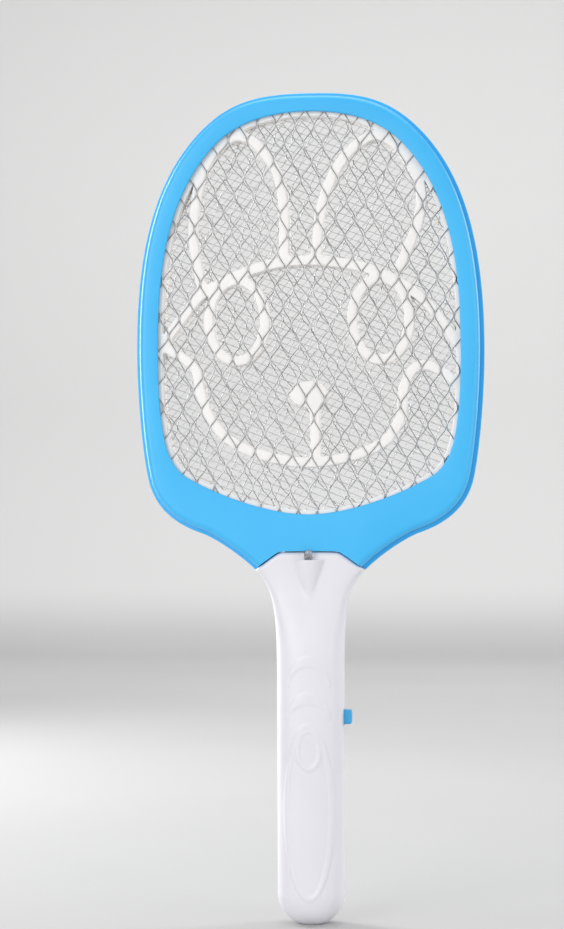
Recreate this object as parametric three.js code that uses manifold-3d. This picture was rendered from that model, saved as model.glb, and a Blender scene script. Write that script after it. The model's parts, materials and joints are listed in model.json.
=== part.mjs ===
// Hand-held electric fly swatter, in millimetres.
// X runs across the face, Y from the front (-) to the rear (+), and Z up from the butt of the handle
// to the top of the head. The origin is the middle of the flat end of the butt.

import * as THREE from 'three';
import { mergeVertices } from 'three/addons/utils/BufferGeometryUtils.js';
import Module from 'manifold-3d';

const wasm = await Module();
wasm.setup();

// Driving dimensions
const GAP = 0.3;                 // clearance between pieces that touch
const HEAD_TOP = 500;            // height of the top of the head, the overall length
const HEAD_HALF_WIDTH = 105.3;
const WIDEST_Z = 345;            // height at which the head is widest
const OPENING_TOP = 487.5;
const OPENING_HALF_WIDTH = 91.2;
const OPENING_BOTTOM = 244.8;
const HEAD_HALF_DEPTH = 11;
const FRONT_INSET = 2.6;         // the front frame is this much smaller all round than the rear frame
const PARTING_Y = -2;            // plane in which the two frames meet
const LIP = 2.4;                 // thickness of each frame's lip over the grids
const FRAME_ROUNDING = 4;        // radius of the frames' outer edges
const GRID_THICKNESS = 0.6;
const GRID_MARGIN = 4.4;         // how far the grids reach under the frames
const POCKET_MARGIN = 5.3;        // how far the frames' pocket reaches past the opening
const SPACER_INSET = 2.5;        // how far the white spacers stand inside the opening
const RIB_WIDTH = 6;

const NECK_TOP = 222.8;
const NECK_TOP_HALF_WIDTH = 18.1;
const NECK_TIP_X = 33.4;
const NECK_TIP_Z = 211.8;
const GRIP_HALF_WIDTH = 20.2;
const GRIP_HALF_DEPTH = 16.4;
const NECK_HALF_DEPTH = 10.6;
const BUTT_CENTRE_Z = 19;        // centre of the round end of the grip
const WALL = 2.2;                // handle wall
const RELIEF = 0.6;              // height of the raised ornaments on the grip

const COVER_HALF_WIDTH = 15;
const COVER_TOP = 76;
const BAY_TOP = 72.5;            // underside of the wall above the batteries
const BAY_BOTTOM = 11.6;         // top of the wall below the batteries
const CELL_RADIUS = 7.1;
const CELL_LENGTH = 49.2;
const CELL_X = 7.6;
const CELL_Y = 3.5;
const CELL_BOTTOM = 16.4;
const CONTACT_THICKNESS = 0.4;

const BOARD = { halfWidth: 13.3, front: 3, rear: 4.6, bottom: 92, top: 192, post: 2.6 };
const BUTTON = { z: 123.45, height: 8.4, depth: 7.2, reach: 24.9, root: 17, flange: 1.2, stemEnd: 15.5 };
const SCREW = { shank: 1.1, hole: 1.4, head: 2.3, headHeight: 1.8, recess: 2.7, boss: 3.2 };
const LAMP = { radius: 2.45, length: 12.4, lean: 0.175, y: -11.8, z: 211.5 };   // y and z of its base
const FAIRING = { bottom: 193.5, top: 217.7, bottomRadius: 1, topRadius: 9.5, bottomY: -9.6, topY: -7 };

// Colour, roughness and metalness of each material
const FINISHES = {
  blue: { color: 0x35a5ee, roughness: 0.35, metalness: 0 },
  white: { color: 0xeceaf0, roughness: 0.4, metalness: 0 },
  spacer: { color: 0xf6f5f0, roughness: 0.45, metalness: 0 },
  grid: { color: 0x8f8d8a, roughness: 0.35, metalness: 1 },
  screw: { color: 0xa8a8aa, roughness: 0.3, metalness: 1 },
  cell: { color: 0x2f7d4a, roughness: 0.4, metalness: 0.2 },
  contact: { color: 0xc8c4b8, roughness: 0.3, metalness: 1 },
  board: { color: 0xb98a4a, roughness: 0.6, metalness: 0 },
  ferrite: { color: 0xd9b23c, roughness: 0.5, metalness: 0 },
  film: { color: 0x9c3b22, roughness: 0.45, metalness: 0 },
  ceramic: { color: 0x2f6fb5, roughness: 0.4, metalness: 0 },
  black: { color: 0x1c1c1e, roughness: 0.5, metalness: 0 },
  resistor: { color: 0xcdb48a, roughness: 0.5, metalness: 0 },
  lens: { color: 0xe9eef0, roughness: 0.1, metalness: 0 },
  redWire: { color: 0xb5231d, roughness: 0.5, metalness: 0 },
  blackWire: { color: 0x222224, roughness: 0.5, metalness: 0 },
};

const swatter = new THREE.Group();

// ---------- making, joining and placing solids ----------

// A closed geometry as a solid that can be joined and cut.
function toSolid(geometry) {
  geometry.deleteAttribute('normal');
  geometry.deleteAttribute('uv');
  const merged = mergeVertices(geometry, 1e-4);
  return new wasm.Manifold(new wasm.Mesh({
    numProp: 3,
    vertProperties: Float32Array.from(merged.attributes.position.array),
    triVerts: Uint32Array.from(merged.index.array),
  }));
}

function toGeometry(solid) {
  const { vertProperties, triVerts } = solid.getMesh();
  const geometry = new THREE.BufferGeometry();
  geometry.setAttribute('position', new THREE.BufferAttribute(vertProperties, 3));
  geometry.setIndex(new THREE.BufferAttribute(triVerts, 1));
  return geometry;
}

function addPiece(name, solid, finish) {
  const material = new THREE.MeshStandardMaterial(FINISHES[finish]);
  const mesh = new THREE.Mesh(toGeometry(solid), material);
  mesh.name = name;
  swatter.add(mesh);
}

function union(solids) {
  return solids.reduce((whole, solid) => whole.add(solid));
}

function block(x, y, z) {
  const geometry = new THREE.BoxGeometry(x[1] - x[0], y[1] - y[0], z[1] - z[0]);
  geometry.translate((x[0] + x[1]) / 2, (y[0] + y[1]) / 2, (z[0] + z[1]) / 2);
  return toSolid(geometry);
}

// An outline in the XZ plane, made into a slab between two Y planes.
function slab(shape, frontY, rearY) {
  const settings = { depth: rearY - frontY, bevelEnabled: false, curveSegments: 7 };
  const geometry = new THREE.ExtrudeGeometry(shape, settings);
  geometry.rotateX(Math.PI / 2);
  geometry.translate(0, rearY, 0);
  return toSolid(geometry);
}

// The same slab with its outer edges rounded, front and rear.
function roundedSlab(shape, frontY, rearY, radius) {
  const geometry = new THREE.ExtrudeGeometry(shape, {
    depth: rearY - frontY - 2 * radius,
    bevelThickness: radius,
    bevelSize: radius,
    bevelOffset: -radius,
    bevelSegments: 2,
  });
  geometry.rotateX(Math.PI / 2);
  geometry.translate(0, rearY - radius, 0);
  return toSolid(geometry);
}

// A round bar between two places on one axis: 'x', 'y' or 'z'.
function bar(axis, radius, from, to, centre, sides = 8) {
  const geometry = new THREE.CylinderGeometry(radius, radius, to - from, sides);
  if (axis === 'x') geometry.rotateZ(-Math.PI / 2);
  if (axis === 'z') geometry.rotateX(Math.PI / 2);
  const middle = (from + to) / 2;
  const position = { x: [middle, ...centre], y: [centre[0], middle, centre[1]], z: [...centre, middle] };
  geometry.translate(...position[axis]);
  return toSolid(geometry);
}

// A six-sided wire that follows a curve.
function wire(curve, radius, steps) {
  const corners = [0, 1, 2, 3, 4, 5].map((side) => {
    return new THREE.Vector2(radius, 0).rotateAround(new THREE.Vector2(), side * Math.PI / 3);
  });
  const geometry = new THREE.ExtrudeGeometry(new THREE.Shape(corners), { extrudePath: curve, steps });
  return toSolid(geometry);
}

function lead(points, radius = 0.6) {
  const curve = new THREE.CatmullRomCurve3(points.map((point) => new THREE.Vector3(...point)));
  return wire(curve, radius, 4 * (points.length - 1));
}

class Helix extends THREE.Curve {
  constructor(centre, bottomRadius, topRadius, bottom, top, turns) {
    super();
    Object.assign(this, { centre, bottomRadius, topRadius, bottom, top, turns });
  }

  getPoint(t) {
    const angle = 2 * Math.PI * this.turns * t;
    const radius = THREE.MathUtils.lerp(this.bottomRadius, this.topRadius, t);
    const [x, y] = this.centre;
    const z = THREE.MathUtils.lerp(this.bottom, this.top, t);
    return new THREE.Vector3(x + radius * Math.cos(angle), y + radius * Math.sin(angle), z);
  }
}

// ---------- outlines ----------

// Right half of the head, from the middle of the top round to the tip beside the neck.
function headHalf() {
  const path = new THREE.Path();
  path.moveTo(0, HEAD_TOP);
  path.bezierCurveTo(27, HEAD_TOP, 46.4, 498, 66.2, 477.9);
  path.bezierCurveTo(97.3, 446.6, HEAD_HALF_WIDTH, 398.3, HEAD_HALF_WIDTH, WIDEST_Z);
  path.bezierCurveTo(HEAD_HALF_WIDTH, 315, 101.2, 273.8, 97.2, 262.1);
  path.bezierCurveTo(92.3, 247.8, 81.8, 239.2, 65.6, 233.6);
  path.bezierCurveTo(58.1, 231.1, 41.5, 220.1, NECK_TIP_X, NECK_TIP_Z);
  return path;
}

// Right half of the opening, from the middle of its top to the middle of its bottom.
function openingHalf() {
  const path = new THREE.Path();
  path.moveTo(0, OPENING_TOP);
  path.bezierCurveTo(16, OPENING_TOP, 40.5, 484.7, 56.9, 467.5);
  path.bezierCurveTo(88.6, 434.1, OPENING_HALF_WIDTH, 383.6, OPENING_HALF_WIDTH, WIDEST_Z);
  path.bezierCurveTo(OPENING_HALF_WIDTH, 322, 90.5, 307, 87.5, 291);
  path.bezierCurveTo(85.7, 281.4, 80.8, 271.3, 73.8, 267.3);
  path.bezierCurveTo(53.9, 255.7, 23.1, OPENING_BOTTOM, 0, OPENING_BOTTOM);
  return path;
}

// Points along a half outline, moved outward by a distance.
function offsetPoints(half, distance, stepsPerCurve) {
  const points = [];
  half.curves.forEach((curve, index) => {
    for (let step = index === 0 ? 0 : 1; step <= stepsPerCurve; step += 1) {
      const t = step / stepsPerCurve;
      const along = curve.getTangent(t);
      const outward = new THREE.Vector2(-along.y, along.x);
      points.push(curve.getPoint(t).addScaledVector(outward, distance));
    }
  });
  return points;
}

// A half outline and its mirror image as one closed shape.
function mirroredShape(half, distance, stepsPerCurve) {
  const right = offsetPoints(half, distance, stepsPerCurve);
  const left = right.filter((point) => point.x > 0.01).map((point) => new THREE.Vector2(-point.x, point.y));
  return new THREE.Shape([...right, ...left.reverse()]);
}

const headShape = (distance) => mirroredShape(headHalf(), distance, 5);
const openingShape = (distance) => mirroredShape(openingHalf(), distance, 5);

// The edge of the grids and spacers, hidden under the frames.
const hiddenEdgeShape = () => mirroredShape(openingHalf(), GRID_MARGIN, 3);

// Outline of the neck's top seen from the front: a flat between two slanted shoulders that run
// on past the tips. It is lowered to leave a gap under the head.
function neckShape(drop, bottom) {
  const slope = (NECK_TOP - NECK_TIP_Z) / (NECK_TIP_X - NECK_TOP_HALF_WIDTH);
  const reach = 60;
  const shoulder = NECK_TOP - drop - slope * (reach - NECK_TOP_HALF_WIDTH);
  const right = [
    new THREE.Vector2(NECK_TOP_HALF_WIDTH, NECK_TOP - drop),
    new THREE.Vector2(reach, shoulder),
    new THREE.Vector2(reach, bottom),
  ];
  const left = right.map((point) => new THREE.Vector2(-point.x, point.y)).reverse();
  return new THREE.Shape([...right, ...left]);
}

function ellipseShape(z, halfWidth, halfHeight) {
  const shape = new THREE.Shape();
  shape.absellipse(0, z, halfWidth, halfHeight, 0, 2 * Math.PI);
  return shape;
}

// A band of even width along an open curve in the XZ plane.
function bandShape(points, width) {
  const curve = new THREE.SplineCurve(points.map(([x, z]) => new THREE.Vector2(x, z)));
  const steps = 2 * (points.length - 1);
  const side = (sign) => Array.from({ length: steps + 1 }, (_, step) => {
    const t = step / steps;
    const along = curve.getTangent(t);
    return curve.getPoint(t).add(new THREE.Vector2(-along.y, along.x).multiplyScalar(sign * width / 2));
  });
  return new THREE.Shape([...side(-1), ...side(1).reverse()]);
}

// ---------- screws ----------

// A pan-head screw along Y, its head at the rear.
function screw(x, z, headY, length) {
  const profile = [
    [0, -length],
    [SCREW.shank, -length + 1.5],
    [SCREW.shank, 0],
    [SCREW.head, 0],
    [SCREW.head, SCREW.headHeight * 0.6],
    [0, SCREW.headHeight],
  ];
  const geometry = new THREE.LatheGeometry(profile.map(([r, y]) => new THREE.Vector2(r, y)), 8);
  geometry.translate(x, headY, z);
  return toSolid(geometry);
}

// Places of the frame screws: three on each side of the rim, measured along the opening's curves.
function frameScrewPlaces() {
  const rimMiddle = 7.9;
  const curves = openingHalf().curves;
  const stations = [[0, 0.9], [1, 0.8], [3, 0.55]];
  const right = stations.map(([index, t]) => {
    const along = curves[index].getTangent(t);
    return curves[index].getPoint(t).add(new THREE.Vector2(-along.y, along.x).multiplyScalar(rimMiddle));
  });
  return [...right, ...right.map((place) => new THREE.Vector2(-place.x, place.y))];
}

const FRAME_SCREW_HEAD_Y = 7.6;
const NECK_SCREW_PLACES = [[-10.5, 230], [10.5, 230]];
const HANDLE_SCREW_PLACES = [[-16, 203], [16, 203], [-12.5, 84], [12.5, 84]];
const HANDLE_SCREW_HEAD_Y = 6.5;
const BOARD_SCREW_PLACES = [[-10.5, 187], [10.5, 97]];
const BOARD_SCREW_TIP = 9.5;

// ---------- head ----------

const TONGUE = { halfWidth: 15, halfDepth: 5, top: 237 };

// Pocket for the handle's tongue, and the slot through which the grid leads reach the grids.
function tonguePocket(frontY, rearY) {
  const reach = TONGUE.halfWidth + GAP;
  const pocket = block([-reach, reach], [frontY, rearY], [200, TONGUE.top + GAP]);
  const slot = block([-8, 8], [frontY, rearY], [TONGUE.top, 242]);
  return pocket.add(slot);
}

function frontFrame() {
  const outline = headShape(-FRONT_INSET);
  const pocketFront = -HEAD_HALF_DEPTH + LIP;
  const behind = block([-120, 120], [PARTING_Y, 40], [150, 520]);
  let frame = roundedSlab(outline, -HEAD_HALF_DEPTH, PARTING_Y + 2 * FRAME_ROUNDING, FRAME_ROUNDING);
  frame = frame.subtract(behind);
  frame = frame.subtract(slab(openingShape(0), -20, 20));
  frame = frame.subtract(slab(openingShape(POCKET_MARGIN), pocketFront, 20));
  frame = frame.subtract(slab(neckShape(0, 150), -20, 20));
  frame = frame.subtract(tonguePocket(pocketFront, 0));
  const pilots = frameScrewPlaces().map(({ x, y }) => bar('y', SCREW.hole, -9.4, 0, [x, y]));
  return pilots.reduce((whole, pilot) => whole.subtract(pilot), frame);
}

function rearFrame() {
  const pocketRear = HEAD_HALF_DEPTH - LIP;
  const front = block([-120, 120], [-40, PARTING_Y + GAP], [150, 520]);
  const start = PARTING_Y - 2 * FRAME_ROUNDING;
  let frame = roundedSlab(headShape(0), start, HEAD_HALF_DEPTH, FRAME_ROUNDING).subtract(front);
  frame = frame.subtract(slab(openingShape(0), -20, 20));
  frame = frame.subtract(slab(openingShape(POCKET_MARGIN), -20, pocketRear));
  frame = frame.subtract(slab(neckShape(0, 150), -20, 20));
  frame = frame.subtract(tonguePocket(-20, pocketRear));
  const places = [...frameScrewPlaces().map(({ x, y }) => [x, y]), ...NECK_SCREW_PLACES];
  for (const place of places) {
    frame = frame.subtract(bar('y', SCREW.hole, -20, 20, place));
    frame = frame.subtract(bar('y', SCREW.recess, FRAME_SCREW_HEAD_Y - GAP, 20, place));
  }
  return frame;
}

// Openings of an expanded-metal sheet: rhombi in staggered rows, the whole pattern leaning.
function meshOpenings({ long, short, lean, strand }, frontY, rearY) {
  const height = long * short / Math.hypot(long, short);
  const scale = 1 - strand / height;
  const centreZ = 365;
  const turn = THREE.MathUtils.degToRad(lean);
  const rhombi = [];
  const rows = Math.ceil(300 / long);
  const columns = Math.ceil(260 / short);
  for (let row = -rows; row <= rows; row += 1) {
    for (let column = -columns; column <= columns; column += 1) {
      if ((row + column) % 2 !== 0) continue;
      const middle = new THREE.Vector2(column * short / 2, row * long / 2);
      const corners = [[0, long], [short, 0], [0, -long], [-short, 0]].map(([x, z]) => {
        const corner = new THREE.Vector2(x, z).multiplyScalar(scale / 2).add(middle);
        return corner.rotateAround(new THREE.Vector2(), turn).add(new THREE.Vector2(0, centreZ));
      });
      rhombi.push(new THREE.Shape(corners));
    }
  }
  return slab(rhombi, frontY, rearY);
}

// A grid cut from a sheet: open over the head's opening and whole along its edge.
function grid(frontY, pattern) {
  const rearY = frontY + GRID_THICKNESS;
  const sheet = slab(hiddenEdgeShape(), frontY, rearY);
  const openings = meshOpenings(pattern, frontY - 1, rearY + 1);
  return sheet.subtract(openings.intersect(slab(openingShape(1), frontY - 2, rearY + 2)));
}

const FRONT_GRID_Y = -HEAD_HALF_DEPTH + LIP + GAP;
const REAR_GRID_Y = HEAD_HALF_DEPTH - LIP - GAP - GRID_THICKNESS;
const MIDDLE_GRID_Y = -GRID_THICKNESS / 2;
const GRID_TAB = { x: 5, halfWidth: 2, bottom: 233, top: 241 };

// The outer grids have a solder tab that hangs down in front of, or behind, the tongue.
function gridTab(x, frontY) {
  const { halfWidth, bottom, top } = GRID_TAB;
  return block([x - halfWidth, x + halfWidth], [frontY, frontY + GRID_THICKNESS], [bottom, top]);
}

// The patterns are drawn coarser than the real sheets: three times for the outer grids, and seven
// times for the middle one.
const OUTER_MESH = { long: 65.9, short: 34.2, strand: 1.4 };
const FINE_MESH = { long: 49.7, short: 35, strand: 1.2 };

// Ribs of the spacers: two tall loops above an arched brow, and a jaw line from one cheek to the
// other, held by a centre bar.
const LEFT_LOOP = [
  [-15, 399], [-14.5, 422], [-17, 446], [-25, 462], [-34, 471], [-45, 474],
  [-57, 465], [-65, 450], [-69, 430], [-70, 413], [-68, 397], [-64, 380],
];
const RIGHT_LOOP = [
  [4.5, 399], [6.5, 422], [11.5, 441], [19, 456], [29, 467], [41, 473],
  [54, 466], [63.5, 453], [68, 439], [66.5, 422], [61, 407], [54, 390],
];
const BROW = [
  [-92, 344], [-76, 365], [-62, 380], [-30, 394], [0, 398],
  [30, 394], [47, 388], [65, 377], [77, 364], [92, 343],
];
const JAW = [
  [-94, 350], [-80, 342], [-68, 332], [-66, 319], [-58, 300], [-38, 284], [0, 276],
  [38, 284], [54, 300], [57, 319], [62, 331], [70, 334], [80, 330], [94, 318],
];
const CENTRE_BAR = [[4, 276], [4, 296], [3, 316]];

function ringShape(x) {
  const [z, halfWidth, halfHeight] = [362, 20.3, 27.5];
  const ring = new THREE.Shape();
  ring.absellipse(x, z, halfWidth, halfHeight, 0, 2 * Math.PI);
  const hole = new THREE.Path();
  hole.absellipse(x, z, halfWidth - RIB_WIDTH, halfHeight - RIB_WIDTH, 0, 2 * Math.PI);
  ring.holes.push(hole);
  return ring;
}

function spacer(frontY, rearY) {
  const inner = slab(openingShape(-SPACER_INSET), frontY - 1, rearY + 1);
  const ring = slab(hiddenEdgeShape(), frontY, rearY).subtract(inner);
  const bands = [LEFT_LOOP, RIGHT_LOOP, BROW, JAW, CENTRE_BAR].map((points) => bandShape(points, RIB_WIDTH));
  const shapes = [...bands, ringShape(-43.5), ringShape(43.5), ellipseShape(317, 12, 8)];
  const ribs = union(shapes.map((shape) => slab(shape, frontY, rearY)));
  const margin = slab(openingShape(0), frontY - 1, rearY + 1);
  return ring.add(ribs.intersect(margin));
}

function addHead() {
  addPiece('front_frame', frontFrame(), 'blue');
  addPiece('rear_frame', rearFrame(), 'blue');

  const frontGrid = grid(FRONT_GRID_Y, { ...OUTER_MESH, lean: -3.9 });
  addPiece('front_grid', frontGrid.add(gridTab(-GRID_TAB.x, FRONT_GRID_Y)), 'grid');
  addPiece('middle_grid', grid(MIDDLE_GRID_Y, { ...FINE_MESH, lean: -76.4 }), 'grid');
  const rearGrid = grid(REAR_GRID_Y, { ...OUTER_MESH, lean: 8.5 });
  addPiece('rear_grid', rearGrid.add(gridTab(GRID_TAB.x, REAR_GRID_Y)), 'grid');

  const spacerFront = FRONT_GRID_Y + GRID_THICKNESS + GAP;
  const spacerRear = MIDDLE_GRID_Y - GAP;
  addPiece('front_spacer', spacer(spacerFront, spacerRear), 'spacer');
  addPiece('rear_spacer', spacer(-spacerRear, -spacerFront), 'spacer');

  frameScrewPlaces().forEach(({ x, y }, index) => {
    addPiece(`frame_screw_${index + 1}`, screw(x, y, FRAME_SCREW_HEAD_Y, 16), 'screw');
  });
  NECK_SCREW_PLACES.forEach(([x, z], index) => {
    addPiece(`neck_screw_${index + 1}`, screw(x, z, FRAME_SCREW_HEAD_Y, 11), 'screw');
  });
}

// ---------- handle ----------

function halfWidthAt(z) {
  if (z < BUTT_CENTRE_Z) return Math.sqrt(GRIP_HALF_WIDTH ** 2 - (BUTT_CENTRE_Z - z) ** 2);
  const flareLength = 11.9;
  const flare = Math.exp((z - NECK_TIP_Z) / flareLength);
  return GRIP_HALF_WIDTH + (NECK_TIP_X - GRIP_HALF_WIDTH) * flare;
}

function halfDepthAt(z) {
  if (z < BUTT_CENTRE_Z) return GRIP_HALF_DEPTH / GRIP_HALF_WIDTH * halfWidthAt(z);
  const thinning = THREE.MathUtils.smoothstep(z, 160, 210);
  return THREE.MathUtils.lerp(GRIP_HALF_DEPTH, NECK_HALF_DEPTH, thinning);
}

// The section goes from an oval in the grip to a flat rounded bar in the neck.
function sectionPowerAt(z) {
  return THREE.MathUtils.lerp(2.5, 5, THREE.MathUtils.smoothstep(z, 165, 212));
}

// The handle's outer form, grown or shrunk by a distance. It is a cylinder whose rings are
// moved to the heights of the form and stretched into superellipses.
function handleForm(growth, bottom, top) {
  const heights = [0, 1.5, 4, 8, 13, 19, 160, 178, 190, 200, 207, 213, 226];
  const stations = [bottom, ...heights.filter((z) => z > bottom && z < top), top];
  const geometry = new THREE.CylinderGeometry(1, 1, 1, 24, stations.length - 1);
  geometry.rotateX(Math.PI / 2);
  const position = geometry.attributes.position;
  for (let index = 0; index < position.count; index += 1) {
    const station = Math.round((position.getZ(index) + 0.5) * (stations.length - 1));
    const z = stations[station];
    const [x, y] = [position.getX(index), position.getY(index)];
    const angle = Math.atan2(y, x);
    const radius = Math.hypot(x, y) < 0.5 ? 0 : 1;
    const power = 2 / sectionPowerAt(z);
    const stretch = (value, size) => Math.sign(value) * Math.abs(value) ** power * (size + growth) * radius;
    const across = stretch(Math.cos(angle), halfWidthAt(z));
    const deep = stretch(Math.sin(angle), halfDepthAt(z));
    position.setXYZ(index, across, deep, z);
  }
  return toSolid(geometry);
}

// Raised ornaments on the front of the grip: a tall oval, a small oval near its top, and two
// crescents above them.
function crescentShape(endZ, outerHeight, innerHeight) {
  const halfWidth = 12.7;
  const shape = new THREE.Shape();
  shape.absellipse(0, endZ, halfWidth, outerHeight, Math.PI, 0, true);
  shape.absellipse(0, endZ, halfWidth - 1, innerHeight, 0, Math.PI, false);
  return shape;
}

function ovalRingShape(z, halfWidth, halfHeight, band) {
  const shape = ellipseShape(z, halfWidth, halfHeight);
  shape.holes.push(ellipseShape(z, halfWidth - band, halfHeight - band));
  return shape;
}

function gripRelief() {
  const shapes = [
    ovalRingShape(67.8, 15, 52.8, 3),
    ovalRingShape(104.7, 8, 12.7, 2.6),
    crescentShape(122, 16.7, 9.5),
    crescentShape(142, 18.4, 11.8),
  ];
  const prisms = union(shapes.map((shape) => slab(shape, -30, -8)));
  return handleForm(RELIEF, 0, 226).intersect(prisms);
}

// A half cone on the neck that holds the lamp.
function lampFairing() {
  const { bottom, top, bottomRadius, topRadius, bottomY, topY } = FAIRING;
  const geometry = new THREE.CylinderGeometry(topRadius, bottomRadius, top - bottom, 24);
  geometry.rotateX(Math.PI / 2);
  geometry.translate(0, 0, (top + bottom) / 2);
  const position = geometry.attributes.position;
  for (let index = 0; index < position.count; index += 1) {
    const rise = (position.getZ(index) - bottom) / (top - bottom);
    position.setY(index, position.getY(index) + THREE.MathUtils.lerp(bottomY, topY, rise));
  }
  return toSolid(geometry);
}

function handleOuter() {
  const drop = 0.5;
  const solid = union([handleForm(0, 0, 226), gripRelief(), lampFairing()]);
  return solid.intersect(slab(neckShape(drop, -20), -40, 40));
}

const NECK_CAVITY_TOP = 209;

function handleCavity() {
  return handleForm(-WALL, WALL, NECK_CAVITY_TOP);
}

function tongue() {
  const { halfWidth, halfDepth, top } = TONGUE;
  return block([-halfWidth, halfWidth], [-halfDepth, halfDepth], [NECK_CAVITY_TOP, top]);
}

// Space through the tongue for the three leads that feed the grids.
function leadChannel() {
  return block([-7, 7], [-2, 2], [NECK_CAVITY_TOP - 1, TONGUE.top + 1]);
}

// Window in the side wall for the push button.
function buttonWindow() {
  const clearance = 0.4;
  const halfHeight = BUTTON.height / 2 + clearance;
  const halfDepth = BUTTON.depth / 2 + clearance;
  return block([10, 30], [-halfDepth, halfDepth], [BUTTON.z - halfHeight, BUTTON.z + halfHeight]);
}

function handleBosses() {
  return HANDLE_SCREW_PLACES.map((place) => bar('y', SCREW.boss, -GRIP_HALF_DEPTH, GRIP_HALF_DEPTH, place));
}

// Leans a geometry that stands on the XY plane forward, and moves it to the lamp's place.
function toLampPlace(geometry) {
  geometry.rotateX(LAMP.lean);
  geometry.translate(0, LAMP.y, LAMP.z);
  return toSolid(geometry);
}

// Hole for the lamp in the fairing, and a passage for its legs into the grip.
function lampPocket() {
  const depth = 25;
  const hole = new THREE.CylinderGeometry(LAMP.radius + GAP, LAMP.radius + GAP, depth, 14);
  hole.rotateX(Math.PI / 2);
  hole.translate(0, 0, depth / 2 - GAP);
  const passage = block([-2.6, 2.6], [LAMP.y + 0.8, -5], [200, LAMP.z + 1]);
  return toLampPlace(hole).add(passage);
}

// Walls across the grip, above and below the batteries.
function bayWalls() {
  const wall = (bottom, top) => block([-25, 25], [-20, 20], [bottom, top]);
  return union([wall(BAY_TOP, BAY_TOP + 1.6), wall(BAY_BOTTOM - 1.6, BAY_BOTTOM)]);
}

// A notch in the upper bay wall for the two battery leads.
function bayNotch() {
  return block([-3, 3], [-8, 8], [BAY_TOP - 1, BAY_TOP + 3]);
}

function handleBody() {
  const trim = handleForm(-WALL / 2, WALL / 2, NECK_CAVITY_TOP);
  const inside = union([...handleBosses(), bayWalls()]).intersect(trim);
  let body = handleOuter().subtract(handleCavity()).add(inside).add(tongue());
  body = body.subtract(leadChannel()).subtract(buttonWindow()).subtract(bayNotch()).subtract(lampPocket());
  for (const place of HANDLE_SCREW_PLACES) {
    body = body.subtract(bar('y', SCREW.hole, -9, 20, place));
    body = body.subtract(bar('y', SCREW.recess, HANDLE_SCREW_HEAD_Y - GAP, 20, place));
  }
  for (const place of NECK_SCREW_PLACES) {
    body = body.subtract(bar('y', SCREW.hole, -20, 20, place));
  }
  return body;
}

// The part of the rear half that comes away with the battery cover.
function coverRegion(clearance) {
  const halfWidth = COVER_HALF_WIDTH - clearance;
  return block([-halfWidth, halfWidth], [GAP / 2 + clearance, 30], [-5, COVER_TOP - clearance]);
}

function boardBosses() {
  const height = [BOARD.rear + GAP, GRIP_HALF_DEPTH];
  const holeEnd = BOARD_SCREW_TIP + GAP;
  const posts = union(BOARD_SCREW_PLACES.map((place) => bar('y', BOARD.post, ...height, place)));
  const holes = union(BOARD_SCREW_PLACES.map((place) => bar('y', SCREW.hole, 0, holeEnd, place)));
  return posts.intersect(handleForm(-WALL / 2, 50, NECK_CAVITY_TOP)).subtract(holes);
}

function batteryCover() {
  const above = block([-30, 30], [-30, 30], [WALL, COVER_TOP + 10]);
  const wallsRemoved = above.intersect(handleForm(-WALL, 0, 100));
  const panel = handleForm(0, 0, 100).subtract(wallsRemoved).intersect(coverRegion(GAP));
  return panel.add(coverRibs());
}

// Finger ribs across the top of the cover.
function coverRibs() {
  const ribs = [0, 1, 2, 3, 4].map((index) => {
    const z = 60 + 3 * index;
    return block([-9, 9], [10, 30], [z, z + 1.2]);
  });
  return handleForm(RELIEF, 0, 100).subtract(handleForm(-1, 0, 100)).intersect(union(ribs));
}

function addHandle() {
  const body = handleBody();
  const frontHalf = block([-60, 60], [-40, -GAP / 2], [-10, 260]);
  const rearHalf = block([-60, 60], [GAP / 2, 40], [-10, 260]);
  addPiece('handle_front', body.intersect(frontHalf), 'white');
  const rear = body.intersect(rearHalf).subtract(coverRegion(0)).add(boardBosses());
  addPiece('handle_rear', rear, 'white');
  addPiece('battery_cover', batteryCover(), 'white');
  HANDLE_SCREW_PLACES.forEach(([x, z], index) => {
    addPiece(`handle_screw_${index + 1}`, screw(x, z, HANDLE_SCREW_HEAD_Y, 14), 'screw');
  });
}

// ---------- batteries ----------

// A round cell with its small end up (direction 1) or down (-1).
function cell(x, direction) {
  const profile = [
    [0, 0],
    [CELL_RADIUS - 0.6, 0],
    [CELL_RADIUS, 0.6],
    [CELL_RADIUS, CELL_LENGTH - 0.6],
    [CELL_RADIUS - 0.6, CELL_LENGTH],
    [2.7, CELL_LENGTH],
    [2.7, CELL_LENGTH + 1],
    [0, CELL_LENGTH + 1],
  ];
  const geometry = new THREE.LatheGeometry(profile.map(([r, y]) => new THREE.Vector2(r, y)), 16);
  geometry.rotateX(direction * Math.PI / 2);
  const bottom = direction > 0 ? CELL_BOTTOM : CELL_BOTTOM + CELL_LENGTH + 1;
  geometry.translate(x, CELL_Y, bottom);
  return toSolid(geometry);
}

function contactPlate(x, bottom) {
  return block(x, [CELL_Y - 5, CELL_Y + 5], [bottom, bottom + CONTACT_THICKNESS]);
}

const CONTACT_BUMP = 2.2;        // radius of the bump that meets a cell's small end
const COIL = { narrow: 2.6, wide: 5, clearance: 0.8, turns: 2, wire: 0.4 };

function contactCoil(x, bottomRadius, topRadius, bottom, top) {
  const helix = new Helix([x, CELL_Y], bottomRadius, topRadius, bottom, top, COIL.turns);
  return wire(helix, COIL.wire, 10 * COIL.turns);
}

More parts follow.
